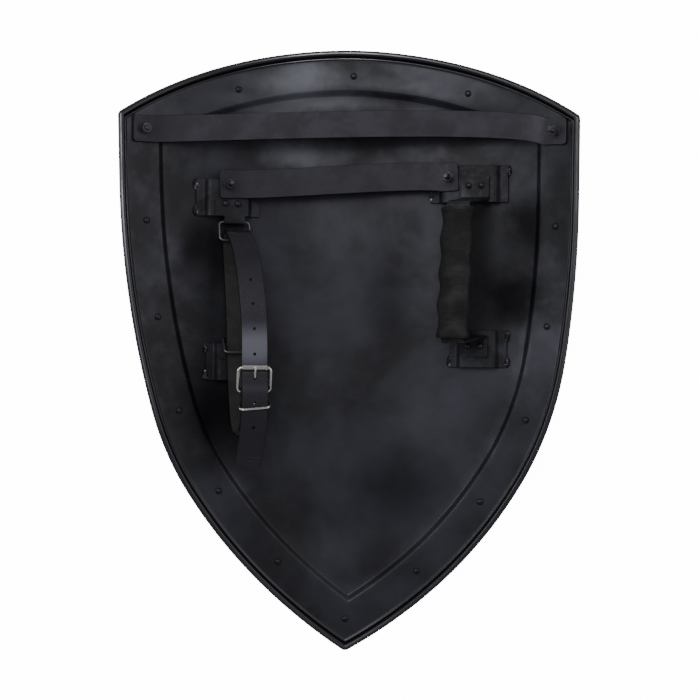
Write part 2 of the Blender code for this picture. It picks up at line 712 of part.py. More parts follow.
def make_screws(name, places, tips, top, low):
    """Screw, washer and nut at each end of a strap; low and top are the faces of what they hold."""
    bore = SCREW_RADIUS + CLEARANCE
    washer = top + CLEARANCE
    nut = washer + WASHER_THICK + CLEARANCE
    under = low - CLEARANCE
    for side, place in places.items():
        tube_ring(f"{name}_washer_{side}", WASHER_RADIUS, bore, WASHER_THICK,
                  place @ Matrix.Translation((0, 0, washer)), BLACK_STEEL, 12, bore_sides=12)
        tube_ring(f"{name}_nut_{side}", NUT_RADIUS, bore, NUT_HEIGHT,
                  place @ Matrix.Translation((0, 0, nut)), BLACK_STEEL, 6,
                  turn=math.radians(NUT_TURN), bore_sides=12)
        tip = tips[side]
        profile = ((0, tip), (SCREW_RADIUS - SCREW_CHAMFER, tip), (SCREW_RADIUS, tip - SCREW_CHAMFER),
                   (SCREW_RADIUS, under), (SCREW_HEAD_RADIUS, under),
                   (DOME * SCREW_HEAD_RADIUS, under - DOME * SCREW_HEAD_HEIGHT),
                   (0, under - SCREW_HEAD_HEIGHT))
        turned(f"{name}_screw_{side}", profile, place, BLACK_STEEL)


def carry_places():
    corner = side_arcs(RIGHT)[0]
    places = {}
    for name, (side, inset, drop, _) in CARRY_SCREWS.items():
        places[name] = frame_at(side * (corner.x - inset), corner.y - drop, 0)
    return places


def make_carrying_strap():
    places = carry_places()
    spanning_strap("carrying_strap", places, SEAT, (CARRY_WIDTH, CARRY_THICK),
                   CARRY_END, CARRY_PRESSED, CARRY_PULL, CARRY_BOW, CARRY_STEPS)
    tips = {name: screw[-1] for name, screw in CARRY_SCREWS.items()}
    make_screws("carrying", places, tips, SEAT + CARRY_THICK, -SHEET)


def make_cross_strap():
    places = {side: bridge_place(f"bracket_upper_{side}", u, y) for side, (u, y, _) in CROSS_SCREWS.items()}
    spanning_strap("cross_strap", places, CLEARANCE, (CROSS_WIDTH, CROSS_THICK),
                   CROSS_END, CROSS_PRESSED, CROSS_PULL, CROSS_BOW, CROSS_STEPS)
    for side, place in places.items():
        cut(bpy.data.objects[f"bracket_upper_{side}"], [place], SCREW_RADIUS + CLEARANCE, 4 * BRACKET_THICK)
    tips = {name: screw[-1] for name, screw in CROSS_SCREWS.items()}
    make_screws("cross", places, tips, CLEARANCE + CROSS_THICK, -BRACKET_THICK)


def make_tabs():
    """The tabs on the left brackets, whose necks wrap the bars of the two wire rings."""
    middle = CLEARANCE + TAB_THICK / 2
    wrap = WIRE_RADIUS + CLEARANCE + TAB_THICK / 2
    for level, (bracket, u, way, lift) in TABS.items():
        edge = BRACKETS[bracket][1] + way * BRACKET_WIDTH / 2
        place = bridge_place(bracket, u, edge)
        route = [(-TAB_LENGTH, middle, 0), (-CLEARANCE, middle, 0), (0, middle, 1)]
        for a in spaced(math.pi / 2, -math.pi / 2, 6):
            route.append((NECK_LENGTH + wrap * math.cos(a), middle - wrap + wrap * math.sin(a), 1))
        route.append((NECK_LENGTH - NECK_RETURN, middle - 2 * wrap, 1))
        sections = []
        for i, (run, height, neck) in enumerate(route):
            before, after = route[max(i - 1, 0)], route[min(i + 1, len(route) - 1)]
            out = Vector((0, -(after[1] - before[1]) * way, after[0] - before[0])).normalized()
            point = Vector((NECK_SHIFT * neck, run * way, height))
            width = NECK_WIDTH if neck else TAB_WIDTH
            sections.append(strap_section(point, Vector((1, 0, 0)), out, width, TAB_THICK))
        sections = [[place @ corner for corner in section] for section in sections]
        tab = sweep(f"ring_tab_{level}", sections, BLACK_STEEL)
        spots = []
        for side in (-1, 1):
            spot = (side * TAB_RIVET_APART / 2, -way * TAB_RIVET_IN, 0)
            spots.append(place @ Matrix.Translation(spot))
        rivet_down(f"tab_rivet_{level}", spots, (tab, bpy.data.objects[bracket]), -BRACKET_THICK,
                   CLEARANCE + TAB_THICK, TAB_RIVET_SHANK, (TAB_RIVET_RADIUS, TAB_RIVET_HEIGHT))
        bar = place @ Vector((NECK_SHIFT, way * NECK_LENGTH, middle - wrap))
        drop = RING_HEIGHT - 2 * WIRE_RADIUS
        out = place.to_3x3() @ Vector((0, -math.sqrt(drop ** 2 - lift ** 2), lift)) / drop
        across = place.col[0].xyz
        points = rounded_rectangle(RING_WIDTH - 2 * WIRE_RADIUS, drop, RING_CORNER - WIRE_RADIUS)
        wire(f"wire_ring_{level}", [bar + across * x + out * (drop / 2 - y) for x, y in points],
             WIRE_RADIUS, BLACK_STEEL, cyclic=True)


def rivet_down(name, spots, held, low, high, shank, head):
    """Rivets at the spots through the held pieces, which are drilled for them."""
    for piece in held:
        cut(piece, spots, shank + CLEARANCE, 4 * BRACKET_THICK)
    profile = rivet_profile(low, high, shank, head, (head[0], BACK_HEAD * head[1]))
    for i, spot in enumerate(spots):
        turned(f"{name}_{i + 1}", profile, spot, BLACK_STEEL, RIVET_SIDES)


def rounded_path(stops, radius, steps=3):
    """The stops, each a point and the width across it, with every corner cut to a small curve."""
    path = [stops[0]]
    for before, here, after in zip(stops, stops[1:], stops[2:]):
        ends = []
        for other in (before, after):
            share = radius / (other[0] - here[0]).length
            ends.append([a.lerp(b, share) for a, b in zip(here, other)])
        for t in spaced(0, 1, steps):
            path.append([a.lerp(b, t).lerp(b.lerp(c, t), t) for a, b, c in zip(ends[0], here, ends[1])])
    path.append(stops[-1])
    return path


def grip_point(y, lean, across=0.0, out=0.0):
    """A point by the middle of the grip's upper run."""
    return frame_at(GRIP_U, y, FIELD + GRIP_HEIGHT) @ Vector((across - lean, 0, out))


def make_grip():
    """The strip, bent down to a foot on each right bracket, its rivets, and the sleeve."""
    stops, feet = [], {}
    for level, (bracket, end, corner, _) in GRIP_FEET.items():
        places = [bridge_place(bracket, GRIP_U, y) for y in (end, corner)]
        foot = [(place @ Vector((0, 0, CLEARANCE + GRIP_THICK / 2)), place.col[0].xyz * GRIP_WIDTH)
                for place in places]
        top = (grip_point(*GRIP_TOPS[level]), across_way(GRIP_U) * GRIP_NARROW)
        feet[level] = foot + [top]
    stops = feet["upper"] + feet["lower"][::-1]
    path = rounded_path(stops, GRIP_BEND)
    sections = []
    for i, (point, across) in enumerate(path):
        run = (path[min(i + 1, len(path) - 1)][0] - path[max(i - 1, 0)][0]).normalized()
        out = run.cross(across).normalized()
        sections.append(strap_section(point, across.normalized(), out, across.length, GRIP_THICK))
    core = sweep("grip_core", sections, BLACK_STEEL)
    for level, (bracket, _, _, y) in GRIP_FEET.items():
        spots = [bridge_place(bracket, GRIP_U + side * GRIP_RIVET_APART / 2, y) for side in (-1, 1)]
        rivet_down(f"grip_rivet_{level}", spots, (core, bpy.data.objects[bracket]), -BRACKET_THICK,
                   CLEARANCE + GRIP_THICK, GRIP_RIVET_SHANK, (GRIP_RIVET_RADIUS, GRIP_RIVET_HEIGHT))

    (top_y, top_lean), (low_y, low_lean) = GRIP_TOPS["upper"], GRIP_TOPS["lower"]
    angles = [2 * math.pi * (i + 0.5) / SLEEVE_SIDES for i in range(SLEEVE_SIDES)]
    half = GRIP_NARROW / 2 + CLEARANCE
    channel = []
    for a in angles:
        height = GRIP_THICK / 2 + CLEARANCE + CHANNEL_ARCH * abs(math.sin(a))
        channel.append((half * math.cos(a) / math.cos(angles[0]), math.copysign(height, math.sin(a))))

    def section(share, outline):
        y = SLEEVE_ENDS[0] + (SLEEVE_ENDS[1] - SLEEVE_ENDS[0]) * share
        lean = top_lean + (low_lean - top_lean) * (y - top_y) / (low_y - top_y)
        return [grip_point(y, lean, across, out) for across, out in outline]

    rings = []
    for share in spaced(0, 1, SLEEVE_STEPS):
        wave = SLEEVE_WAVE * math.cos(2 * math.pi * SLEEVE_WAVES * share)
        outline = []
        for a in angles:
            x = math.copysign(abs(math.cos(a)) ** SLEEVE_SQUARE, math.cos(a))
            z = math.copysign(abs(math.sin(a)) ** SLEEVE_SQUARE, math.sin(a))
            outline.append(((SLEEVE_WIDTH / 2 - SLEEVE_WAVE + wave) * x,
                            (SLEEVE_THICK / 2 - SLEEVE_WAVE + wave) * z))
        rings.append(section(share, outline))
    rings += [section(1 - CHANNEL_MOUTH, channel), section(CHANNEL_MOUTH, channel)]
    smooth(sweep("grip_leather", rings, GRIP_LEATHER, cyclic=True))


def smooth_curve(stops, steps):
    """Points on a Catmull-Rom curve through the stops."""
    points = []
    ends = [stops[0] * 2 - stops[1]] + stops + [stops[-1] * 2 - stops[-2]]
    for a, b, c, d in zip(ends, ends[1:], ends[2:], ends[3:]):
        for t in spaced(0, 1, steps)[:-1]:
            points.append(0.5 * (2 * b + (c - a) * t + (2 * a - 5 * b + 4 * c - d) * t * t
                                 + (3 * b - a - 3 * c + d) * t ** 3))
    return points + [stops[-1]]


def belt_frames():
    """Frames along the arm belt: x across it, y along its run, z square to its face."""
    route = smooth_curve([Vector(stop) for stop in BELT_ROUTE], 2)
    points = [bend(u, y, FIELD + h) for u, y, h in route]
    frames = []
    for i, point in enumerate(points):
        run = (points[min(i + 1, len(points) - 1)] - points[max(i - 1, 0)]).normalized()
        across = across_way(route[i].x)
        across = (across - run * across.dot(run)).normalized()
        matrix = Matrix((across, run, across.cross(run))).transposed().to_4x4()
        matrix.translation = point
        frames.append(matrix)
    return frames


def belt_place(frames, start, distance):
    """The frame that far along the belt from a frame's number, either way."""
    i, step = start, 1 if distance > 0 else -1
    left_over = abs(distance)
    while left_over > (frames[i + step].translation - frames[i].translation).length:
        left_over -= (frames[i + step].translation - frames[i].translation).length
        i += step
    share = left_over / (frames[i + step].translation - frames[i].translation).length
    return frames[i].lerp(frames[i + step], share)


def make_belt():
    """The belt in one piece, with its holes, and the rivet that closes its end round the buckle."""
    frames = belt_frames()
    sections = []
    for frame in frames:
        sections.append(strap_section(frame.translation, frame.col[0].xyz, frame.col[2].xyz,
                                      BELT_WIDTH, BELT_THICK))
    belt = sweep("arm_belt", sections, BLACK_LEATHER)
    start = max(i for i, frame in enumerate(frames) if frame.translation.y > TONGUE_HOLE_Y)
    first = frames[start].translation.y - TONGUE_HOLE_Y
    tongue_hole = belt_place(frames, start, first)
    for i in range(-BELT_HOLES_UP, BELT_HOLES_DOWN + 1):
        hole = belt_place(frames, start, first + BELT_HOLE_PITCH * i)
        cut(belt, [hole], BELT_HOLE_RADIUS if i else TONGUE_HOLE_RADIUS, 1.6 * BELT_THICK, HOLE_SIDES)

    y, low, high = CHAPE_RIVET
    middle = (low + high) / 2
    place = frame_at(BUCKLE_U, y, FIELD + middle)
    cut(belt, [place], CHAPE_RIVET_SHANK + CLEARANCE, high - low + 2 * CLEARANCE)
    head = (CHAPE_RIVET_RADIUS, CHAPE_RIVET_HEIGHT)
    turned("chape_rivet", rivet_profile(low - middle, high - middle, CHAPE_RIVET_SHANK, head, head),
           place, NICKEL)

    slot = bmesh.new()
    bmesh.ops.create_cube(slot, size=1)
    wrap = FRAME_RADIUS + CLEARANCE + BELT_THICK
    reach = wrap + SLOT_PAST
    slot.transform(frame_at(BUCKLE_U, HINGE_Y, FIELD + HINGE_H)
                   @ Matrix.Translation((0, (reach - SLOT_BELOW) / 2, 0))
                   @ Matrix.Diagonal((TONGUE_SLOT, reach + SLOT_BELOW, 2 * reach, 1)))
    take_away(belt, add("belt_slot", slot, BLACK_STEEL))
    smooth(belt)
    return tongue_hole


def buckle_frame():
    """A frame in the buckle's plane: its middle lies on the hinge bar, and y runs to the roller."""
    hinge = bend(BUCKLE_U, HINGE_Y, FIELD + HINGE_H)
    lift = roller_height()
    roller = bend(BUCKLE_U, ROLLER_Y, FIELD + lift)
    across = across_way(BUCKLE_U)
    up = roller - hinge
    matrix = Matrix((across, up.normalized(), across.cross(up.normalized()))).transposed().to_4x4()
    matrix.translation = hinge
    return matrix, up.length


def roller_height():
    """The roller's h over the field: it lies on the belt's run at its own y."""
    stops = BELT_ROUTE[BELT_ROUTE.index(max(BELT_ROUTE, key=lambda stop: stop[1])):]
    for one, other in zip(stops, stops[1:]):
        if one[1] >= ROLLER_Y >= other[1]:
            share = (one[1] - ROLLER_Y) / (one[1] - other[1])
            return one[2] + (other[2] - one[2]) * share + BELT_THICK / 2 + CLEARANCE + ROLLER_RADIUS


def make_buckle(hole):
    """Wire frame, roller on its upper bar, tongue on its lower bar, and the keeper below it."""
    place, length = buckle_frame()
    outline = rounded_rectangle(FRAME_WIDTH - 2 * FRAME_RADIUS, length, FRAME_CORNER)
    points = [place @ Vector((x, y + length / 2, 0)) for x, y in outline]
    wire("buckle_frame", points, FRAME_RADIUS, NICKEL, cyclic=True)
    roller = place @ Matrix.Translation((-ROLLER_LENGTH / 2, length, 0)) @ Matrix.Rotation(math.pi / 2, 4, "Y")
    smooth(tube_ring("buckle_roller", ROLLER_RADIUS, FRAME_RADIUS + CLEARANCE, ROLLER_LENGTH, roller,
                     NICKEL, 12, bore_sides=12))

    wrap = FRAME_RADIUS + CLEARANCE + TONGUE_RADIUS
    route = []
    for a in spaced(-0.95 * math.pi, -0.05 * math.pi, 6):
        route.append(Vector((0, wrap * math.cos(a), wrap * math.sin(a))))
    inverse = place.inverted()
    through = inverse @ hole.translation
    square = (inverse.to_3x3() @ hole.col[2].xyz).normalized()
    if square.z < 0:
        square = -square
    over = ROLLER_RADIUS + CLEARANCE + TONGUE_RADIUS
    down, back = TONGUE_APPROACH
    first, second, third = TONGUE_HUMP
    route += [Vector((0, through.y - down, through.z - back)), through - square * TONGUE_THROUGH,
              through + square * TONGUE_THROUGH, Vector((0, through.y + down, over * first)),
              Vector((0, length - TONGUE_BEYOND, over * second)), Vector((0, length, over * third)),
              Vector((0, length + TONGUE_BEYOND, over))]
    for point in route:
        point.x = 0
    wire("buckle_tongue", [place @ point for point in route], TONGUE_RADIUS, NICKEL)

    rear = bend(BUCKLE_U, KEEPER_BACK[0], FIELD + KEEPER_BACK[1])
    front = bend(BUCKLE_U, KEEPER_FRONT[0], FIELD + KEEPER_FRONT[1])
    up = front - rear
    across = across_way(BUCKLE_U)
    width = BELT_WIDTH + 2 * KEEPER_SLACK + 2 * KEEPER_RADIUS
    tilt = Matrix.Rotation(math.radians(KEEPER_TURN), 3, across.cross(Vector((0, 1, 0))))
    points = []
    for x, y in rounded_rectangle(width, up.length, KEEPER_CORNER, 3):
        points.append((rear + front) / 2 + tilt @ (across * x) + up.normalized() * y)
    wire("belt_keeper", points, KEEPER_RADIUS, NICKEL, cyclic=True)


def main():
    for old in list(bpy.data.objects):
        bpy.data.objects.remove(old, do_unlink=True)
    make_plate()
    make_rim_rivets()
    make_brackets()
    make_carrying_strap()
    make_cross_strap()
    make_tabs()
    make_grip()
    make_buckle(make_belt())


main()
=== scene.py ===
"""Dresses a heater shield's solids in blackened steel, leather and nickel, and sets its stage.

Places are written on the flat pattern of the plate: u runs across it, to the right, y towards
the top edge, and h is a height square to the sheet, over the back face of the rim band. The
pattern is bent round an axis along y. Lengths are in metres.
"""
import math

import bmesh
import bpy
from bpy.props import FloatProperty, FloatVectorProperty, PointerProperty
from mathutils import Matrix, Vector, noise
from mathutils.geometry import delaunay_2d_cdt


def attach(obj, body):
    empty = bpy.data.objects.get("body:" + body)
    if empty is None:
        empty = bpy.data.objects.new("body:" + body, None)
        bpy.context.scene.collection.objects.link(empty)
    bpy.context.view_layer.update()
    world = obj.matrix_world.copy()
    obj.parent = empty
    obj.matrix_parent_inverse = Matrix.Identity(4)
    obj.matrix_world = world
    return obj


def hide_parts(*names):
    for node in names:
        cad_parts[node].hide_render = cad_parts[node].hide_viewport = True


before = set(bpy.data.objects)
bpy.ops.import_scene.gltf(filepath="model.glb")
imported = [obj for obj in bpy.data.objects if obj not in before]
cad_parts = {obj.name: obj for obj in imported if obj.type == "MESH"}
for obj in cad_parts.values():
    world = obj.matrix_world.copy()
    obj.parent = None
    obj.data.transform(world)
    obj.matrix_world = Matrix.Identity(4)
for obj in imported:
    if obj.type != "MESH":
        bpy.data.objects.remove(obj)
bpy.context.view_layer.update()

bl_info = {
    "name": "Heater Shield",
    "version": (1, 0, 0),
    "blender": (4, 5, 0),
    "location": "3D View > Sidebar > Shield",
    "description": "Builds the steel, leather and hardware of a heater shield round its CAD model",
    "category": "Object",
}

CONTACT = 0.0003          # gap between two pieces that touch
SEAT = 0.0005             # gap over the bent sheet

# Outline of the flat pattern
APEX_Y = 0.3174
TIP_Y = -0.3193
HALF_WIDTH = 0.2486
TOP_RADIUS = 0.4487
CORNER_RADIUS = 0.0065
INNER_RADIUS = 0.003
RIGHT = {"sign": 1, "slope": 0.28, "straight": 0.0845, "bow_radius": 1.116, "bow_length": 0.1665,
         "belly_radius": 0.358, "belly_length": 0.136, "band": 0.0435, "rivet_inset": 0.0265,
         "rivet_first": 0.1135, "rivet_pitch": 0.1065}
LEFT = {"sign": -1, "slope": 1.69, "straight": 0.067, "bow_radius": 0.954, "bow_length": 0.245,
        "belly_radius": 0.320, "belly_length": 0.0905, "band": 0.045, "rivet_inset": 0.029,
        "rivet_first": 0.112, "rivet_pitch": 0.104}
TOP_BAND = 0.042
TOP_RIVET_INSET = 0.027
TIP_RIVET_Y = -0.285
RIVETS_PER_SIDE = 5
RIM_FOLD = (0.0066, 0.0108, 0.0009)       # start, end and height of the fold along the rolled rim
TOP_RIVET_ANGLE = 16.8
TOP_RIVET_TURN = 0.6
OUTLINE_STEPS = {"top": 44, "corner": 6, "straight": 10, "bow": 30, "belly": 26, "point": 30, "tip": 8}

# Brackets: middle of the bridge (u, y), length of the bridge, corners with a weld
BRACKETS = {
    "upper_left": (-0.1279, 0.1590, 0.0410, ((-1, -1), (-1, 1))),
    "lower_left": (-0.1182, -0.0135, 0.0370, ((-1, -1), (-1, 1))),
    "upper_right": (0.1287, 0.1755, 0.0555, ((1, 1), (-1, -1))),
    "lower_right": (0.1385, 0.0022, 0.0356, ((1, -1), (1, 1), (-1, -1))),
}
BRACKET_RISE = 0.010
BRACKET_FOOT = 0.0095
BRACKET_RAMP = 0.0032
WELD_SIZE = (0.0065, 0.012, 0.004)

# Strap screws: side, way in from the upper corner, way down from it and height of the tip, and
# for the cross strap u, y and the height of the tip
CARRY_SCREWS = {"left": (-1, 0.0296, 0.0151, 0.0120), "right": (1, 0.0275, 0.0146, 0.0235)}
CROSS_SCREWS = {"left": (-0.1280, 0.1729, 0.0215), "right": (0.1075, 0.1827, 0.0225)}
CARRY_SPAN = {"end": 0.0125, "pressed": 0.010, "pull": 0.120, "bow": (0.0014, 0.0146)}
CROSS_SPAN = {"end": 0.0100, "pressed": 0.008, "pull": 0.085, "bow": (-0.0020, 0.0050)}

# Ring tabs: bracket, middle of the tab, way of its neck, lift of the ring's free bar
TABS = {"upper": ("upper_left", -0.1250, -1, 0.0072), "lower": ("lower_left", -0.1198, 1, 0.0136)}
TAB_LENGTH = 0.0165
NECK_WIDTH = 0.0222
NECK_LENGTH = 0.0062
NECK_SHIFT = 0.0032
NECK_RETURN = 0.0030
TAB_RIVET_APART = 0.0130
TAB_RIVET_IN = 0.0130

# Arm belt: the middle of its thickness, with h over the field's back face
BELT_ROUTE = (
    (-0.1062, -0.0680, 0.0598), (-0.1062, -0.0560, 0.0599), (-0.1062, -0.0480, 0.0611),
    (-0.1062, -0.0430, 0.0614), (-0.1062, -0.0404, 0.0602), (-0.1062, -0.0396, 0.0580),
    (-0.1062, -0.0404, 0.0558), (-0.1062, -0.0430, 0.0546), (-0.1062, -0.0480, 0.0549),
    (-0.1063, -0.0580, 0.0563), (-0.1065, -0.0700, 0.0556), (-0.1074, -0.0800, 0.0520),
    (-0.1090, -0.0868, 0.0455), (-0.1108, -0.0880, 0.0380), (-0.1122, -0.0835, 0.0300),
    (-0.1134, -0.0700, 0.0232), (-0.1144, -0.0480, 0.0186), (-0.1154, -0.0260, 0.0168),
    (-0.1160, -0.0080, 0.0162), (-0.1164, 0.0120, 0.0156), (-0.1172, 0.0400, 0.0136),
    (-0.1186, 0.0720, 0.0112), (-0.1200, 0.0980, 0.0102), (-0.1207, 0.1110, 0.0112),
    (-0.1207, 0.1190, 0.0138), (-0.1200, 0.1222, 0.0180), (-0.1180, 0.1200, 0.0232),
    (-0.1148, 0.1100, 0.0302), (-0.1116, 0.0900, 0.0404), (-0.1092, 0.0640, 0.0504),
    (-0.1072, 0.0340, 0.0575), (-0.1062, 0.0060, 0.0596), (-0.1059, -0.0190, 0.0580),
    (-0.1060, -0.0300, 0.0614), (-0.1061, -0.0400, 0.0656), (-0.1062, -0.0500, 0.0664),
    (-0.1064, -0.0640, 0.0650), (-0.1070, -0.0800, 0.0612), (-0.1086, -0.1000, 0.0542),
    (-0.1108, -0.1230, 0.0446),
)
TONGUE_HOLE_Y = -0.0300
BELT_HOLES_UP = 4
BELT_HOLES_DOWN = 2
BUCKLE_U = -0.1061
HINGE_Y = -0.0430
HINGE_H = 0.0580
ROLLER_Y = -0.0190
TONGUE_SLOT = 0.0050
SLOT_BELOW = 0.0037
SLOT_PAST = 0.0007
KEEPER_BACK = (-0.0520, 0.0522)
KEEPER_FRONT = (-0.0605, 0.0690)
KEEPER_TURN = 5.0
KEEPER_SLACK = 0.0009
CHAPE_RIVET = (-0.0565, 0.0546, 0.0616)

# Grip
GRIP_U = 0.1360
GRIP_FEET = {"upper": ("upper_right", 0.1828, 0.1590, 0.1735),
             "lower": ("lower_right", -0.0060, 0.0160, 0.0050)}
GRIP_HEIGHT = 0.0560
GRIP_TOPS = {"upper": (0.1525, 0.0085), "lower": (0.0085, 0.0140)}
GRIP_RIVET_APART = 0.0135
GRIP_FOOT_WIDTH = 0.030
GRIP_RUN_WIDTH = 0.024
GRIP_BEND = 0.0040
SLEEVE_ENDS = (0.1480, 0.0130)
SLEEVE_WAVES = 4
SLEEVE_BORE = (0.0128, 0.0026)            # half of the width and thickness of the strip's slot

# Rivets: height of the near and of the far head, and radius of the shank
RIM_RIVET = (0.0022, 0.0030, 0.0018)
TAB_RIVET = (0.0022, 0.00132, 0.0016)
GRIP_RIVET = (0.0024, 0.00144, 0.0016)
CHAPE_RIVET_SHAPE = (0.0013, 0.0013, 0.0014)
SMALL_HEAD = 0.0034
CHAPE_HEAD = 0.0030

# Nuts, washers and screws
NUT_SIDES = 48
NUT_CHAMFER = 0.0007
WASHER_SIDES = 40
WASHER_SOFT = 0.00025
THREAD_SIDES = 20
THREAD_DEPTH = 0.00034
THREAD_END = (0.0010, 0.0006)             # length and depth of the taper at the tip
SCREW_HEAD = (0.006, 0.0028)
ROLLER_SIDES = 36
ROLLER_SEAM = 30

# Stage
LIT_POINT = (0, 0, 0.03)
LIGHTS = (
    ("key", (-0.5, 1.1, 2.2), (1.6, 1.2), 24.0, (0.97, 0.97, 1.0)),
    ("left strip", (-1.5, 0.2, 0.9), (0.25, 1.6), 5.5, (0.93, 0.96, 1.0)),
    ("right panel", (1.3, 0.25, 1.0), (1.5, 1.2), 6.5, (1.0, 1.0, 1.0)),
)
STUDIO_COLOUR = (0.93, 0.92, 1.07, 1.0)
STUDIO_STRENGTH = 0.33
FLOOR_DROP = 0.0006
FLOOR_GLOW = (1.4, 16.0)                  # glow on the shield and towards the camera
CAMERA_PLACE = (0.0030, 0.0, 1.8)
CAMERA_ROLL = 0.5
CAMERA_VIEW = 23.39

# Patches of painted light (the rim's are partly wear too): middle (x, y), half of the width and height, and
# how strong it is
# Painted highlights on the plate: pale patches that stand in for reflections of the lights
PAINTED_HIGHLIGHTS = ((-0.060, 0.287, 0.058, 0.022, 0.50), (0.040, 0.284, 0.060, 0.012, 0.12),
             (-0.062, 0.212, 0.030, 0.020, 0.30), (-0.030, 0.209, 0.045, 0.016, 0.18),
             (-0.050, 0.262, 0.090, 0.014, 0.30), (-0.010, 0.140, 0.050, 0.040, 0.07),
             (0.088, -0.060, 0.045, 0.050, 0.06), (-0.012, -0.022, 0.040, 0.030, 0.05),
             (-0.020, -0.212, 0.050, 0.030, 0.06), (-0.075, -0.110, 0.030, 0.060, 0.05))
# Painted shade on the plate: dark patches beside the belt and the grip, and in a few other spots
PAINTED_SHADE = ((-0.142, 0.108, 0.036, 0.050, 0.80), (0.180, 0.134, 0.026, 0.040, 0.80),
            (0.170, 0.056, 0.040, 0.042, 0.90), (-0.140, -0.065, 0.050, 0.060, 0.75),
            (0.230, 0.170, 0.030, 0.090, 0.40), (0.160, 0.270, 0.070, 0.030, 0.40),
            (0.042, 0.050, 0.030, 0.070, 0.35), (0.060, -0.145, 0.060, 0.045, 0.50),
            (0.080, 0.285, 0.030, 0.020, 0.20))
# Painted sheen on the arm belt
BELT_SHEEN = ((-0.096, 0.002, 0.045, 0.025, 0.55),)
# Bright rim crest: partly wear, partly painted highlight, strongest on the top left where the light falls
RIM_WEAR_AND_HIGHLIGHTS = ((-0.240, 0.140, 0.030, 0.170, 0.7), (-0.110, 0.300, 0.150, 0.050, 0.55),
          (0.030, 0.315, 0.100, 0.025, 0.35), (0.236, 0.190, 0.020, 0.130, 0.20),
          (-0.220, -0.040, 0.030, 0.090, 0.35))


def metres(name, about, value):
    return FloatProperty(name=name, description=about, default=value, unit="LENGTH")


def colour(name, about, value):
    return FloatVectorProperty(name=name, description=about, default=value, size=3, min=0.0, max=1.0,
                               subtype="COLOR")


class PlateSettings(bpy.types.PropertyGroup):
    sheet: metres("Sheet", "Thickness of the steel", 0.0012)
    bend_radius: metres("Bend radius", "Radius of the back of the rim band", 0.432)
    flat_width: metres("Flat strip", "Flat strip down the middle", 0.040)
    step_depth: metres("Step depth", "How far the field is pressed to the front", 0.005)
    step_run: metres("Step run", "Width of the pressed step", 0.005)
    bead_radius: metres("Rolled rim", "Radius of the rolled rim", 0.0035)
    unevenness: metres("Unevenness", "How far hand work leaves the sheet uneven", 0.00035)


class LeatherSettings(bpy.types.PropertyGroup):
    carry_width: metres("Carrying strap width", "Width of the upper strap", 0.0278)
    carry_thick: metres("Carrying strap thickness", "Thickness of the upper strap", 0.0032)
    cross_width: metres("Cross strap width", "Width of the lower strap", 0.0298)
    cross_thick: metres("Cross strap thickness", "Thickness of the lower strap", 0.003)
    belt_width: metres("Arm belt width", "Width of the arm belt", 0.0270)
    belt_thick: metres("Arm belt thickness", "Thickness of the arm belt", 0.0026)
    hole_radius: metres("Belt hole", "Radius of a punched hole", 0.0016)
    hole_pitch: metres("Hole pitch", "Distance between punched holes", 0.0258)
    sleeve_width: metres("Grip width", "Width of the grip's sleeve", 0.0345)
    sleeve_thick: metres("Grip thickness", "Thickness of the grip's sleeve", 0.0215)
    sleeve_wave: metres("Finger wave", "Height of the finger waves on the sleeve", 0.0011)


class HardwareSettings(bpy.types.PropertyGroup):
    rivet_radius: metres("Rivet head", "Radius of a rivet's back head", 0.0035)
    rivet_front: metres("Rivet front", "Radius of a rivet's front head", 0.005)
    screw_radius: metres("Screw", "Radius of a strap screw", 0.003)
    thread_pitch: metres("Thread", "Pitch of the screw thread", 0.001)
    nut_radius: metres("Nut", "Radius to the corners of a nut", 0.0056)
    nut_height: metres("Nut height", "Height of a nut", 0.005)
    washer_radius: metres("Washer", "Radius of a washer", 0.006)
    washer_thick: metres("Washer thickness", "Thickness of a washer", 0.0011)
    bracket_thick: metres("Bracket steel", "Thickness of the brackets and grip strip", 0.0025)
    bracket_width: metres("Bracket width", "Width of a bracket", 0.039)
    tab_thick: metres("Tab steel", "Thickness of a ring tab", 0.0015)
    tab_width: metres("Tab width", "Width of a ring tab", 0.0357)
    ring_wire: metres("Ring wire", "Radius of the ring's wire", 0.0014)
    ring_width: metres("Ring width", "Outside width of a ring", 0.0350)
    ring_height: metres("Ring height", "Outside height of a ring", 0.0235)
    buckle_width: metres("Buckle width", "Outside width of the buckle", 0.0368)
    buckle_wire: metres("Buckle wire", "Radius of the buckle's wire", 0.0016)
    roller_radius: metres("Roller", "Radius of the buckle's roller", 0.0026)
    roller_length: metres("Roller length", "Length of the buckle's roller", 0.0260)
    tongue_wire: metres("Tongue", "Radius of the buckle's tongue", 0.0012)
    keeper_wire: metres("Keeper wire", "Radius of the keeper's wire", 0.0011)


class ColourSettings(bpy.types.PropertyGroup):
    steel: colour("Black steel", "Colour of the blackened plate", (0.0060, 0.0060, 0.0072))
    bloom: colour("Steel bloom", "Paler bluish patches in the blackening", (0.034, 0.034, 0.044))
    # Colour of the painted highlights laid on the plate and on the arm belt
    painted_highlight: colour("Painted highlight", "Pale colour laid on as painted highlights on the plate and belt", (0.22, 0.225, 0.25))
    hardware: colour("Black hardware", "Colour of screws, nuts and rivets", (0.016, 0.016, 0.017))
    bare: colour("Bare steel", "Colour of welds and worn edges", (0.42, 0.42, 0.44))
    leather: colour("Strap leather", "Grain side of the straps", (0.0080, 0.0078, 0.0094))
    flesh: colour("Flesh side", "Rough side of the arm belt", (0.0155, 0.0150, 0.0122))
    grip: colour("Grip leather", "Colour of the sleeve", (0.0066, 0.0068, 0.0056))
    ring: colour("Ring wire", "Colour of the two rings", (0.13, 0.13, 0.13))
    nickel: colour("Nickel", "Colour of the buckle and keeper", (0.70, 0.67, 0.58))
    floor: colour("Floor", "Colour of the floor", (0.90, 0.90, 0.90))


class ShieldSettings(bpy.types.PropertyGroup):
    plate: PointerProperty(type=PlateSettings)
    leather: PointerProperty(type=LeatherSettings)
    hardware: PointerProperty(type=HardwareSettings)
    colours: PointerProperty(type=ColourSettings)


def settings():
    return bpy.context.scene.heater_shield


# The bent sheet

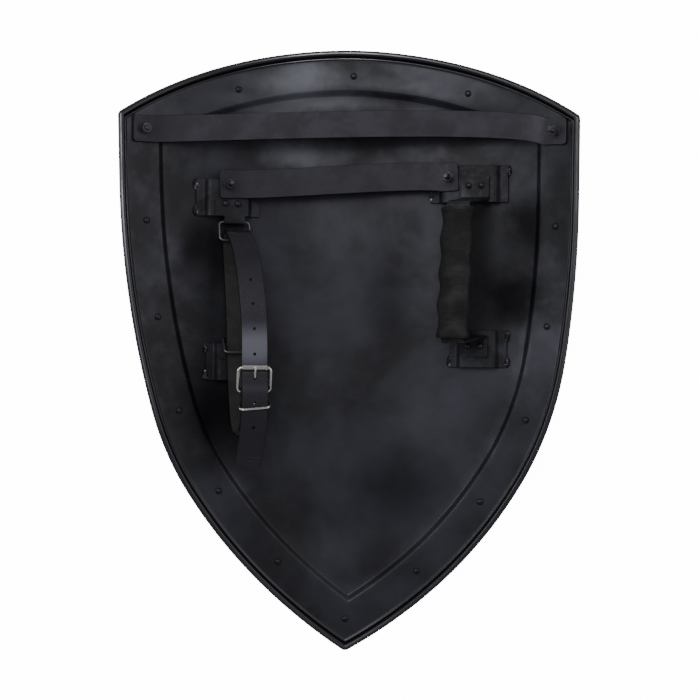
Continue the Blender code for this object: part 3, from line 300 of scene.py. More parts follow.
def bend(u, y, h):
    """The place in the model of a point of the flat pattern."""
    plate = settings().plate
    run = abs(u) - plate.flat_width / 2
    base = plate.sheet + plate.step_depth
    if run <= 0:
        return Vector((u, y, base + h))
    turn = run / plate.bend_radius
    reach = plate.bend_radius - h
    across = plate.flat_width / 2 + reach * math.sin(turn)
    return Vector((math.copysign(across, u), y, base + plate.bend_radius - reach * math.cos(turn)))


def field_height(h):
    """A height over the field's back face, as a height over the rim band's."""
    return h - settings().plate.step_depth


def across_way(u):
    """The direction across the sheet, to the right, at u."""
    plate = settings().plate
    turn = max(0.0, abs(u) - plate.flat_width / 2) / plate.bend_radius
    return Vector((math.cos(turn), 0, math.copysign(math.sin(turn), u)))


def axes(across, along, origin):
    matrix = Matrix((across, along, across.cross(along))).transposed().to_4x4()
    matrix.translation = origin
    return matrix


def frame_at(u, y, h):
    """A frame on the sheet: x across it, y towards the top edge, z square to it."""
    return axes(across_way(u), Vector((0, 1, 0)), bend(u, y, h))


def square_frame(across, origin):
    """A frame whose x is that way and whose y is the shield's, as near as it can be."""
    along = Vector((0, 1, 0))
    along = (along - across * along.dot(across)).normalized()
    return axes(across, along, origin)


def bridge_place(bracket, u, y):
    """A frame on top of a bracket's bridge, which is a straight chord, at u and y."""
    middle, _, length, _ = BRACKETS[bracket]
    left = bend(middle - length / 2, y, field_height(BRACKET_RISE))
    right = bend(middle + length / 2, y, field_height(BRACKET_RISE))
    return square_frame((right - left).normalized(), left.lerp(right, (u - middle) / length + 0.5))


def runs_along(path):
    """The direction of a path at each of its points."""
    last = len(path) - 1
    return [(path[min(i + 1, last)] - path[max(i - 1, 0)]).normalized() for i in range(last + 1)]


def spaced(start, end, count):
    """Even steps from start to end, both included."""
    return [start + (end - start) * i / count for i in range(count + 1)]


# Outline of the plate

def downward(angle):
    return Vector((-math.sin(angle), -math.cos(angle)))


def inward(angle):
    return Vector((-math.cos(angle), math.sin(angle)))


def side_arcs(edge):
    """The corner of a side, and the centre, radius and two angles of each of its arcs."""
    rise = math.sqrt(TOP_RADIUS ** 2 - HALF_WIDTH ** 2)
    corner = Vector((HALF_WIDTH, APEX_Y - TOP_RADIUS + rise))
    angle = math.radians(edge["slope"])
    point = corner + downward(angle) * edge["straight"]
    arcs = []
    for part in ("bow", "belly"):
        radius = edge[part + "_radius"]
        centre = point + inward(angle) * radius
        end = angle + edge[part + "_length"] / radius
        arcs.append((centre, radius, angle, end))
        point = centre - inward(end) * radius
        angle = end
    chord = Vector((0, TIP_Y)) - point
    radius = chord.length_squared / (2 * chord.dot(inward(angle)))
    centre = point + inward(angle) * radius
    arcs.append((centre, radius, angle, 2 * math.atan2(-chord.x, -chord.y) - angle))
    return corner, arcs


def tip_centre(insets, fillet):
    """The centre of the tip's rounding, between the last arcs of both sides."""
    right_centre, right_radius = side_arcs(RIGHT)[1][-1][:2]
    left_centre, left_radius = side_arcs(LEFT)[1][-1][:2]
    left_centre = Vector((-left_centre.x, left_centre.y))
    one = right_radius - insets[2] - fillet
    other = left_radius - insets[1] - fillet
    way = left_centre - right_centre
    along = (one ** 2 - other ** 2 + way.length_squared) / (2 * way.length)
    off = math.sqrt(one ** 2 - along ** 2)
    unit = way.normalized()
    square = Vector((-unit.y, unit.x))
    if square.y > 0:
        square = -square
    return right_centre + unit * along + square * off


def half_line(edge, top_inset, inset, fillet, tip):
    """Points of one half, from the apex to the tip's rounding, with u growing outward."""
    corner, arcs = side_arcs(edge)
    slope = math.radians(edge["slope"])
    top_centre = Vector((0, APEX_Y - TOP_RADIUS))
    base = corner + inward(slope) * (inset + fillet)
    from_top = base - top_centre
    middle = from_top.dot(downward(slope))
    gap = from_top.length_squared - (TOP_RADIUS - top_inset - fillet) ** 2
    centre = base + downward(slope) * (-middle - math.sqrt(middle ** 2 - gap))
    spoke = centre - top_centre
    top_end = math.atan2(spoke.x, spoke.y)
    points = []
    for a in spaced(0, top_end, OUTLINE_STEPS["top"])[:-1]:
        points.append(top_centre + Vector((math.sin(a), math.cos(a))) * (TOP_RADIUS - top_inset))
    for a in spaced(top_end, math.pi / 2 + slope, OUTLINE_STEPS["corner"])[:-1]:
        points.append(centre + Vector((math.sin(a), math.cos(a))) * fillet)
    start = centre - inward(slope) * fillet
    end = corner + downward(slope) * edge["straight"] + inward(slope) * inset
    for share in spaced(0, 1, OUTLINE_STEPS["straight"])[:-1]:
        points.append(start.lerp(end, share))
    spoke = Vector((tip.x * edge["sign"], tip.y)) - arcs[-1][0]
    last = math.atan2(-spoke.y, spoke.x)
    stops = {"bow": arcs[0][3], "belly": arcs[1][3], "point": last}
    for (centre, radius, first, _), (part, stop) in zip(arcs, stops.items()):
        for a in spaced(first, stop, OUTLINE_STEPS[part])[:-1]:
            points.append(centre - inward(a) * (radius - inset))
    return points, last


def line_round(insets, fillet):
    """A closed line round the pattern, with its own inset on the top, left and right."""
    tip = tip_centre(insets, fillet)
    right, right_end = half_line(RIGHT, insets[0], insets[2], fillet, tip)
    left, left_end = half_line(LEFT, insets[0], insets[1], fillet, tip)
    points = list(right)
    for a in spaced(right_end, math.pi - left_end, OUTLINE_STEPS["tip"]):
        points.append(tip + Vector((math.cos(a), -math.sin(a))) * fillet)
    points += [Vector((-p.x, p.y)) for p in reversed(left[1:])]
    return points


def rim_line(offset):
    return line_round((offset,) * 3, max(CORNER_RADIUS - offset, INNER_RADIUS))


def band_line(offset, share=1.0):
    """A line at that share of the rim band's width, and offset inward from there."""
    bands = (TOP_BAND, LEFT["band"], RIGHT["band"])
    return line_round([band * share + offset for band in bands], INNER_RADIUS)


def along_side(edge, distance, inset):
    """The point that far along the outline from the corner, moved in by the inset."""
    corner, arcs = side_arcs(edge)
    slope = math.radians(edge["slope"])
    left_over = distance - edge["straight"]
    if left_over <= 0:
        point = corner + downward(slope) * distance + inward(slope) * inset
        return Vector((point.x * edge["sign"], point.y))
    for centre, radius, first, end in arcs:
        if left_over <= radius * (end - first) or end == arcs[-1][3]:
            point = centre - inward(first + left_over / radius) * (radius - inset)
            return Vector((point.x * edge["sign"], point.y))
        left_over -= radius * (end - first)


def is_inside(point, loop):
    """Even-odd test of a flat point in a closed loop."""
    inside = False
    for a, b in zip(loop, loop[1:] + loop[:1]):
        if (a.y > point.y) != (b.y > point.y):
            if point.x < a.x + (b.x - a.x) * (point.y - a.y) / (b.y - a.y):
                inside = not inside
    return inside


# Meshes

def new_piece(name, shape, materials, recalculate=True):
    """Puts a shape into the scene at the origin, with its faces pointing out."""
    if recalculate:
        bmesh.ops.recalc_face_normals(shape, faces=shape.faces)
    mesh = bpy.data.meshes.new(name)
    shape.to_mesh(mesh)
    shape.free()
    for made in materials:
        mesh.materials.append(made)
    piece = bpy.data.objects.new(name, mesh)
    bpy.context.collection.objects.link(piece)
    return piece


def shade(piece, angle=35):
    piece.data.shade_smooth()
    piece.data.set_sharp_from_angle(angle=math.radians(angle))


def dress(piece, slot, *nodes):
    """Hangs the piece under the root body and hides the CAD nodes that it stands for; the slot is not used.
    """
    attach(piece, "root")
    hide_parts(*nodes)


def apply_modifiers(piece):
    """Turns the piece with its modifiers into a plain mesh."""
    whole = piece.evaluated_get(bpy.context.evaluated_depsgraph_get())
    mesh = bpy.data.meshes.new_from_object(whole)
    piece.modifiers.clear()
    piece.data = mesh


def join_rings(shape, rings, cyclic=False):
    """Faces between rings of as many points each; every ring is closed."""
    pairs = list(zip(rings, rings[1:]))
    if cyclic:
        pairs.append((rings[-1], rings[0]))
    faces = []
    for one, other in pairs:
        count = len(one)
        for i in range(count):
            j = (i + 1) % count
            faces.append(shape.faces.new((one[i], one[j], other[j], other[i])))
    return faces


def ring_about(shape, place, reaches, height):
    """Points about the place's z at that height, each with its own reach."""
    ring = []
    for i, reach in enumerate(reaches):
        a = 2 * math.pi * i / len(reaches)
        ring.append(shape.verts.new(place @ Vector((reach * math.cos(a), reach * math.sin(a), height))))
    return ring


def turned(shape, profile, place, sides):
    """Turns a profile of (radius, height), from axis to axis, round the place's z."""
    rings = [ring_about(shape, place, [radius] * sides, height) for radius, height in profile[1:-1]]
    join_rings(shape, rings)
    for pole, ring in ((profile[0], rings[0]), (profile[-1], rings[-1])):
        middle = shape.verts.new(place @ Vector((0, 0, pole[1])))
        for i in range(sides):
            shape.faces.new((ring[i], ring[(i + 1) % sides], middle))


def dome(radius, height, steps, flat=0.0):
    """Points of a domed head, from its axis to its edge; flat is a share left level on top."""
    points = []
    for a in spaced(0, math.pi / 2, steps):
        points.append((radius * (flat + (1 - flat) * math.sin(a)), height * math.cos(a)))
    return [(0, height)] + points[0 if flat else 1:]


def rounded_rectangle(width, height, radius, steps):
    """Points round a rectangle with round corners, about its middle."""
    points = []
    for i, (sx, sy) in enumerate(((1, 1), (-1, 1), (-1, -1), (1, -1))):
        for a in spaced(i * math.pi / 2, (i + 1) * math.pi / 2, steps):
            points.append((sx * (width / 2 - radius) + radius * math.cos(a),
                           sy * (height / 2 - radius) + radius * math.sin(a)))
    return points


def smooth_curve(stops, steps):
    """Points on a Catmull-Rom curve through the stops."""
    points = []
    ends = [stops[0] * 2 - stops[1]] + stops + [stops[-1] * 2 - stops[-2]]
    for a, b, c, d in zip(ends, ends[1:], ends[2:], ends[3:]):
        for t in spaced(0, 1, steps)[:-1]:
            points.append(0.5 * (2 * b + (c - a) * t + (2 * a - 5 * b + 4 * c - d) * t * t
                                 + (3 * b - a - 3 * c + d) * t ** 3))
    return points + [stops[-1]]


def tube(name, points, radii, look, sides=16, cyclic=False):
    """A round wire along the points, with a radius for each of them or one for all."""
    count = len(points)
    if not isinstance(radii, (list, tuple)):
        radii = [radii] * count
    shape = bmesh.new()
    rings = []
    aside = None
    for i, point in enumerate(points):
        before = points[(i - 1) % count] if cyclic or i else point
        after = points[(i + 1) % count] if cyclic or i < count - 1 else point
        run = (after - before).normalized()
        if aside is None:
            aside = run.orthogonal()
        aside = (aside - run * aside.dot(run)).normalized()
        up = run.cross(aside)
        angles = [2 * math.pi * k / sides for k in range(sides)]
        rings.append([shape.verts.new(point + (aside * math.cos(a) + up * math.sin(a)) * radii[i])
                      for a in angles])
    join_rings(shape, rings, cyclic)
    if not cyclic:
        shape.faces.new(rings[0])
        shape.faces.new(reversed(rings[-1]))
    made = new_piece(name, shape, [look])
    shade(made, 50)
    return made


def ribbon(shape, stations, thick, edge, sides=3, wide_steps=6, finishes=(0, 1, 2)):
    """A strip through stations of (point, across, out, width), with rounded edges.

    The finishes are the materials' numbers on the side that out points to, on the other side and
    on the edges. The UV map holds the distance along the strip and across it.
    """
    uv_layer = shape.loops.layers.uv.verify()
    near_side = [(x, 1) for x in spaced(-1, 1, wide_steps)]
    far_side = [(x, -1) for x, _ in reversed(near_side)]
    lane = near_side + [(1, 0)] * (sides - 1) + far_side + [(-1, 0)] * (sides - 1)
    first, last = stations[0], stations[-1]
    rows = [(*first[:3], first[3] - 2 * edge), *stations, (*last[:3], last[3] - 2 * edge)]
    rings, marks = [], []
    run = 0.0
    for row, (point, across, out, width) in enumerate(rows):
        if row:
            run += (point - rows[row - 1][0]).length
        soft, depth = edge, thick / 2
        if row in (0, len(rows) - 1):
            soft, depth = 0.0, thick / 2 - edge
        flat_half = width / 2 - soft
        ring = []
        turn = 0
        for x, level in lane:
            if level:
                turn = 0
                ring.append((x * flat_half, level * depth))
            else:
                turn += 1
                a = math.pi / 2 - math.pi * turn / sides
                ring.append((x * (flat_half + soft * math.cos(a)), x * depth * math.sin(a)))
        rings.append([shape.verts.new(point + across * x + out * z) for x, z in ring])
        marks.append([(run, x) for x, _ in ring])
    for row in range(len(rows) - 1):
        for i in range(len(lane)):
            j = (i + 1) % len(lane)
            corners = ((row, i), (row, j), (row + 1, j), (row + 1, i))
            face = shape.faces.new([rings[k][spot] for k, spot in corners])
            levels = {lane[i][1], lane[j][1]}
            face.material_index = finishes[0 if levels == {1} else 1 if levels == {-1} else 2]
            for loop, (k, spot) in zip(face.loops, corners):
                loop[uv_layer].uv = marks[k][spot]
    for ring in (rings[0], rings[-1][::-1]):
        shape.faces.new(ring).material_index = finishes[2]


def ends_rounded(stations, radius):
    """The stations with the strip's four corners rounded."""
    lengths = [0.0]
    for one, other in zip(stations, stations[1:]):
        lengths.append(lengths[-1] + (other[0] - one[0]).length)
    made = []
    for (point, across, out, width), run in zip(stations, lengths):
        near = min(run, lengths[-1] - run)
        cut = radius - math.sqrt(max(0.0, radius ** 2 - (radius - min(near, radius)) ** 2))
        made.append((point, across, out, width - 2 * cut))
    return made


def take_away(piece, shape):
    """Cuts the shape out of the piece."""
    cutter = new_piece(piece.name + "_cutter", shape, [])
    step = piece.modifiers.new("cut", "BOOLEAN")
    step.operation = "DIFFERENCE"
    step.solver = "EXACT"
    step.object = cutter
    apply_modifiers(piece)
    bpy.data.objects.remove(cutter)


def fastener_tree():
    """Geometry nodes that set one fastener on every point, square to the point's own direction."""
    tree = bpy.data.node_groups.new("fasteners on points", "GeometryNodeTree")
    tree.is_modifier = True
    face = tree.interface
    face.new_socket("Points", in_out="INPUT", socket_type="NodeSocketGeometry")
    names = {}
    for label, kind in (("Fastener", "Object"), ("Size", "Float"), ("Turn", "Float"), ("Spread", "Float"),
                        ("Seed", "Int"), ("Finish", "Material")):
        names[label] = face.new_socket(label, in_out="INPUT", socket_type="NodeSocket" + kind).identifier
    face.new_socket("Fasteners", in_out="OUTPUT", socket_type="NodeSocketGeometry")
    nodes, link = tree.nodes, tree.links.new
    source = nodes.new("NodeGroupInput")
    sink = nodes.new("NodeGroupOutput")
    shape = nodes.new("GeometryNodeObjectInfo")
    way = nodes.new("GeometryNodeInputNamedAttribute")
    way.data_type = "FLOAT_VECTOR"
    way.inputs["Name"].default_value = "outward"
    aim = nodes.new("FunctionNodeAlignRotationToVector")
    aim.axis = "Z"
    chance = nodes.new("FunctionNodeRandomValue")
    chance.data_type = "FLOAT"
    chance.inputs[2].default_value = 0.0
    spin = nodes.new("ShaderNodeMath")
    spin.operation = "MULTIPLY_ADD"
    turn = nodes.new("ShaderNodeCombineXYZ")
    place = nodes.new("GeometryNodeInstanceOnPoints")
    rotate = nodes.new("GeometryNodeRotateInstances")
    rotate.inputs["Local Space"].default_value = True
    real = nodes.new("GeometryNodeRealizeInstances")
    finish = nodes.new("GeometryNodeSetMaterial")
    link(source.outputs["Fastener"], shape.inputs["Object"])
    link(way.outputs["Attribute"], aim.inputs["Vector"])
    link(source.outputs["Seed"], chance.inputs["Seed"])
    link(chance.outputs[1], spin.inputs[0])
    link(source.outputs["Spread"], spin.inputs[1])
    link(source.outputs["Turn"], spin.inputs[2])
    link(spin.outputs[0], turn.inputs["Z"])
    link(source.outputs["Points"], place.inputs["Points"])
    link(shape.outputs["Geometry"], place.inputs["Instance"])
    link(aim.outputs["Rotation"], place.inputs["Rotation"])
    link(source.outputs["Size"], place.inputs["Scale"])
    link(place.outputs["Instances"], rotate.inputs["Instances"])
    link(turn.outputs["Vector"], rotate.inputs["Rotation"])
    link(rotate.outputs["Instances"], real.inputs["Geometry"])
    link(real.outputs["Geometry"], finish.inputs["Geometry"])
    link(source.outputs["Finish"], finish.inputs["Material"])
    link(finish.outputs["Geometry"], sink.inputs["Fasteners"])
    return tree, names


def set_fasteners(name, fastener, places, look, spread=0.0, turn=0.0, seed=1):
    """One piece with the fastener at every place, made by the geometry nodes."""
    mesh = bpy.data.meshes.new(name)
    mesh.from_pydata([place.translation[:] for place in places], [], [])
    ways = mesh.attributes.new("outward", "FLOAT_VECTOR", "POINT")
    for item, place in zip(ways.data, places):
        item.vector = place.col[2].xyz
    piece = bpy.data.objects.new(name, mesh)
    bpy.context.collection.objects.link(piece)
    tree, names = fastener_tree()
    step = piece.modifiers.new("fasteners", "NODES")
    step.node_group = tree
    values = {"Fastener": fastener, "Size": 1.0, "Turn": turn, "Spread": spread, "Seed": seed, "Finish": look}
    for label, value in values.items():
        step[names[label]] = value
    apply_modifiers(piece)
    bpy.data.objects.remove(fastener)
    bpy.data.node_groups.remove(tree)
    return piece


# Materials

class Nodes:
    """Short ways to add nodes to a tree and link them."""

    def __init__(self, tree):
        self.tree = tree

    def fill(self, node, values):
        """Sets or links the node's sockets."""
        for key, value in values.items():
            if isinstance(value, bpy.types.NodeSocket):
                self.tree.links.new(value, node.inputs[key])
            else:
                node.inputs[key].default_value = value

    def add(self, kind, values=None, **options):
        node = self.tree.nodes.new(kind)
        for key, value in options.items():
            setattr(node, key, value)
        self.fill(node, values or {})
        return node

    def object_place(self):
        return self.add("ShaderNodeTexCoord").outputs["Object"]

    def math(self, operation, a, b=0.0, clamp=False):
        return self.add("ShaderNodeMath", {0: a, 1: b}, operation=operation, use_clamp=clamp).outputs[0]

    def mix(self, share, a, b):
        node = self.add("ShaderNodeMix", {0: share, 6: a, 7: b}, data_type="RGBA")
        return node.outputs[2]

    def between(self, value, low, high, to_low=0.0, to_high=1.0):
        node = self.add("ShaderNodeMapRange", {"Value": value, "From Min": low, "From Max": high,
                                               "To Min": to_low, "To Max": to_high})
        node.interpolation_type = "SMOOTHSTEP"
        return node.outputs["Result"]

    def noise(self, at, scale, detail=2.0, rough=0.5):
        node = self.add("ShaderNodeTexNoise", {"Vector": at, "Scale": scale, "Detail": detail,
                                               "Roughness": rough})
        return node.outputs["Fac"]

    def bump(self, height, distance, strength=1.0):
        values = {"Height": height, "Distance": distance, "Strength": strength}
        return self.add("ShaderNodeBump", values).outputs[0]

    def group(self, tree, values):
        return self.add("ShaderNodeGroup", values, node_tree=tree)

    def patches(self, at, rows):
        """A value that is highest in the middle of each patch and fades to its edge."""
        total = 0.0
        for x, y, wide, high, strength in rows:
            spot = self.add("ShaderNodeMapping", {"Vector": at, "Location": (-x / wide, -y / high, 0),
                                                  "Scale": (1 / wide, 1 / high, 0)})
            away = self.add("ShaderNodeVectorMath", {0: spot.outputs[0]}, operation="LENGTH")
            total = self.math("ADD", total, self.between(away.outputs["Value"], 0.15, 1.25, strength, 0.0))
        return total


def shader_group(name, inputs, outputs):
    """An empty shader group with float inputs and outputs, made once."""
    tree = bpy.data.node_groups.new(name, "ShaderNodeTree")
    for label, value in inputs.items():
        socket = tree.interface.new_socket(label, in_out="INPUT", socket_type="NodeSocketFloat")
        socket.default_value = value
    for label in outputs:
        tree.interface.new_socket(label, in_out="OUTPUT", socket_type="NodeSocketFloat")
    nodes = Nodes(tree)
    return tree, nodes, nodes.add("NodeGroupInput"), nodes.add("NodeGroupOutput")


def clouding_group():
    """Broad soft clouds and smaller blotches, as left by oil blackening."""
    name = "blackening clouds"
    if name in bpy.data.node_groups:
        return bpy.data.node_groups[name]
    inputs = {"Clouds": 9.0, "Blotches": 42.0, "Low": 0.42, "High": 0.68}
    tree, nodes, source, sink = shader_group(name, inputs, ("Cloud", "Blotch"))
    at = nodes.object_place()
    drift = nodes.add("ShaderNodeTexNoise", {"Vector": at, "Scale": 5.0, "Detail": 1.0})
    warped = nodes.add("ShaderNodeVectorMath", {0: drift.outputs["Color"], 1: (0.09, 0.09, 0.09)},
                       operation="MULTIPLY")
    moved = nodes.add("ShaderNodeVectorMath", {0: at, 1: warped.outputs[0]}, operation="ADD").outputs[0]
    cloud = nodes.noise(moved, source.outputs["Clouds"], 4.0, 0.55)
    blotch = nodes.noise(moved, source.outputs["Blotches"], 5.0, 0.6)
    for value, label in ((cloud, "Cloud"), (blotch, "Blotch")):
        spread = nodes.add("ShaderNodeMapRange", {"Value": value, "From Min": source.outputs["Low"],
                                                  "From Max": source.outputs["High"]})
        spread.interpolation_type = "SMOOTHSTEP"
        tree.links.new(spread.outputs["Result"], sink.inputs[label])
    return tree


def scuff_group():
    """Fine long scratches in two directions, and a fine tooth between them."""
    name = "scuffs"
    if name in bpy.data.node_groups:
        return bpy.data.node_groups[name]
    tree, nodes, source, sink = shader_group(name, {"Fineness": 26.0, "Amount": 0.5}, ("Scuff", "Tooth"))
    at = nodes.object_place()
    lines = []
    for turn, stretch in ((0.6, 30.0), (-1.1, 22.0)):
        turned_at = nodes.add("ShaderNodeMapping", {"Vector": at, "Rotation": (0, 0, turn),
                                                    "Scale": (1.0, stretch, 1.0)}).outputs[0]
        streak = nodes.noise(turned_at, source.outputs["Fineness"], 2.0, 0.5)
        lines.append(nodes.between(streak, 0.66, 0.74))
    both = nodes.math("MAXIMUM", lines[0], lines[1])
    patch = nodes.between(nodes.noise(at, 14.0, 3.0), 0.45, 0.65)
    kept = nodes.math("MULTIPLY", nodes.math("MULTIPLY", both, patch), source.outputs["Amount"], clamp=True)
    tree.links.new(kept, sink.inputs["Scuff"])
    tree.links.new(nodes.noise(at, 1400.0, 2.0, 0.6), sink.inputs["Tooth"])
    return tree


def leather_group():
    """The grain of dressed cowhide: small cells with creases between, and fine pores."""
    name = "leather grain"
    if name in bpy.data.node_groups:
        return bpy.data.node_groups[name]
    tree, nodes, source, sink = shader_group(name, {"Cells": 900.0, "Wrinkle": 0.4}, ("Height", "Shade"))
    at = nodes.object_place()
    cells = nodes.add("ShaderNodeTexVoronoi", {"Vector": at, "Scale": source.outputs["Cells"]},
                      feature="DISTANCE_TO_EDGE").outputs["Distance"]
    cell = nodes.between(cells, 0.0, 0.25)
    wrinkle = nodes.noise(at, 260.0, 4.0, 0.65)
    worn = nodes.noise(at, 38.0, 4.0, 0.6)
    height = nodes.math("ADD", nodes.math("MULTIPLY", cell, 0.5),
                        nodes.math("MULTIPLY", wrinkle, source.outputs["Wrinkle"]))
    tree.links.new(height, sink.inputs["Height"])
    tree.links.new(nodes.between(worn, 0.35, 0.7), sink.inputs["Shade"])
    return tree


def new_material(name):
    made = bpy.data.materials.new(name)
    made.use_nodes = True
    shader = made.node_tree.nodes["Principled BSDF"]
    return made, Nodes(made.node_tree), shader


def rgb(colour_value, share=1.0):
    return (*(channel * share for channel in colour_value), 1.0)


def black_steel(name="blackened steel", clouds=9.0, roughness=(0.30, 0.46), share=1.0, with_painted_light=False):
    """Oil-blackened sheet: satin, cloudy, with a bluish bloom and fine scuffs; with the patches on, it also
    gets painted highlights and painted shade.
    """
    if name in bpy.data.materials:
        return bpy.data.materials[name]
    made, nodes, shader = new_material(name)
    colours = settings().colours
    cloud = nodes.group(clouding_group(), {"Clouds": clouds, "Blotches": clouds * 5})
    scuff = nodes.group(scuff_group(), {"Amount": 0.35})
    bloomed = nodes.mix(nodes.math("MULTIPLY", cloud.outputs["Cloud"], 0.85), rgb(colours.steel, share),
                        rgb(colours.bloom, share))
    blotched = nodes.mix(nodes.math("MULTIPLY", cloud.outputs["Blotch"], 0.20), bloomed,
                         rgb(colours.bloom, 1.3 * share))
    steel_colour = nodes.mix(nodes.math("MULTIPLY", scuff.outputs["Scuff"], 0.25), blotched,
                        rgb(colours.bare, 0.25))
    level = 0.5 * share
    if with_painted_light:
        at = nodes.object_place()
        drift = nodes.add("ShaderNodeTexNoise", {"Vector": at, "Scale": 16.0, "Detail": 4.0,
                                                 "Roughness": 0.6})
        strayed = nodes.add("ShaderNodeVectorMath", {0: drift.outputs["Color"], 1: (0.5, 0.5, 0.5)},
                            operation="SUBTRACT").outputs[0]
        spot = nodes.add("ShaderNodeVectorMath", {0: strayed, 1: (0.07, 0.04, 0.0), 2: at},
                         operation="MULTIPLY_ADD").outputs[0]
        # Painted shade: in these patches the plate is darkened and its reflection dimmed
        painted_shade_share = nodes.math("MINIMUM", nodes.patches(spot, PAINTED_SHADE), 1.0)
        # Painted highlight: pale patches laid on where the lights would reflect
        steel_colour = nodes.mix(nodes.patches(spot, PAINTED_HIGHLIGHTS), steel_colour, rgb(colours.painted_highlight))
        steel_colour = nodes.mix(painted_shade_share, steel_colour, rgb(colours.steel, 0.15))
        level = nodes.math("SUBTRACT", 0.5, nodes.math("MULTIPLY", painted_shade_share, 0.38))
    rough = nodes.between(nodes.math("ADD", nodes.math("MULTIPLY", cloud.outputs["Cloud"], 0.5),
                                     nodes.math("MULTIPLY", cloud.outputs["Blotch"], 0.5)),
                          0.0, 1.0, roughness[1], roughness[0])
    height = nodes.math("ADD", nodes.math("MULTIPLY", scuff.outputs["Tooth"], 0.4),
                        nodes.math("MULTIPLY", scuff.outputs["Scuff"], -0.5))
    nodes.fill(shader, {"Base Color": steel_colour, "Metallic": 0.35, "Roughness": rough,
                        "Specular IOR Level": level, "Normal": nodes.bump(height, 0.00002)})
    return made


def bracket_steel():
    return black_steel("bracket steel", 30.0, (0.34, 0.54), 0.8)


def rim_steel():
    """The rolled rim: worn bright along its crest, with painted highlights on the crest, strongest on the top
    left where the light falls, and a dimmed, dark reflection painted on its sideways flanks.
    """
    made, nodes, shader = new_material("rubbed rim")
    colours = settings().colours
    at = nodes.object_place()
    out = nodes.add("ShaderNodeSeparateXYZ", {"Vector": nodes.add("ShaderNodeNewGeometry").outputs["Normal"]})
    crest = nodes.between(out.outputs["Z"], 0.965, 0.998)
    flank = nodes.between(out.outputs["Z"], 0.25, 0.85)
    worn = nodes.between(nodes.noise(at, 13.0, 4.0, 0.6), 0.34, 0.58, 0.4, 1.0)
    # Wear and painted highlight: bright steel is laid on the up-facing crest in patches that follow the light
    rubbed = nodes.math("ADD", nodes.patches(at, RIM_WEAR_AND_HIGHLIGHTS), 0.06, clamp=True)
    share = nodes.math("MULTIPLY", nodes.math("MULTIPLY", crest, worn), rubbed)
    # Painted shade: the sideways flanks get a weak, dark reflection, so the outer edge reads dark
    nodes.fill(shader, {"Base Color": nodes.mix(share, rgb(colours.steel, 1.3), rgb(colours.bare, 1.3)),
                        "Metallic": nodes.between(share, 0.0, 0.6, 0.0, 0.8),
                        "Specular IOR Level": nodes.between(flank, 0.0, 1.0, 0.03, 0.5),
                        "Specular Tint": nodes.mix(flank, (0.03, 0.03, 0.03, 1.0), (1.0, 1.0, 1.0, 1.0)),
                        "Roughness": nodes.between(flank, 0.0, 1.0, 0.70, 0.28),
                        "Normal": nodes.bump(nodes.noise(at, 420.0, 3.0, 0.6), 0.00006)})
    return made


def hardware_steel(name="blackened hardware", share=1.0):
    """Blackened screws, nuts and rivets, rubbed in spots."""
    if name in bpy.data.materials:
        return bpy.data.materials[name]
    made, nodes, shader = new_material(name)
    colours = settings().colours
    scuff = nodes.group(scuff_group(), {"Fineness": 90.0, "Amount": 0.8})
    at = nodes.object_place()
    worn = nodes.between(nodes.noise(at, 340.0, 3.0), 0.55, 0.75, 0.0, 0.35)
    look = nodes.mix(worn, rgb(colours.hardware, share), rgb(colours.bare, 0.25 * share))
    nodes.fill(shader, {"Base Color": look, "Metallic": 0.55,
                        "Roughness": nodes.between(worn, 0.0, 0.35, 0.36, 0.28),
                        "Normal": nodes.bump(scuff.outputs["Tooth"], 0.00003)})
    return made


def weld_steel():
    """A weld bead, bright where it was brushed."""
    name = "brushed weld"
    if name in bpy.data.materials:
        return bpy.data.materials[name]
    made, nodes, shader = new_material(name)
    colours = settings().colours
    at = nodes.object_place()
    patch = nodes.between(nodes.noise(at, 230.0, 4.0, 0.6), 0.50, 0.66)
    ripple = nodes.noise(at, 900.0, 3.0, 0.6)
    nodes.fill(shader, {"Base Color": nodes.mix(patch, rgb(colours.hardware, 1.5), rgb(colours.bare, 0.8)),
                        "Metallic": 0.8, "Roughness": nodes.between(patch, 0.0, 1.0, 0.5, 0.32),
                        "Normal": nodes.bump(ripple, 0.0001)})
    return made


def wire_metal(name, tint, roughness, dull, metallic=1.0):
    """Drawn wire with a fine tooth and dull patches."""
    if name in bpy.data.materials:
        return bpy.data.materials[name]
    made, nodes, shader = new_material(name)
    scuff = nodes.group(scuff_group(), {"Fineness": 120.0, "Amount": 0.7})
    at = nodes.object_place()
    patch = nodes.between(nodes.noise(at, 150.0, 4.0, 0.6), 0.45, 0.7, 0.0, dull)
    nodes.fill(shader, {"Base Color": nodes.mix(patch, rgb(tint), rgb(tint, 0.45)), "Metallic": metallic,
                        "Roughness": nodes.between(patch, 0.0, 1.0, roughness, roughness + 0.25),
                        "Normal": nodes.bump(scuff.outputs["Tooth"], 0.000015)})
    return made


def nickel_wire():
    return wire_metal("nickel", settings().colours.nickel, 0.26, 0.3, 0.62)


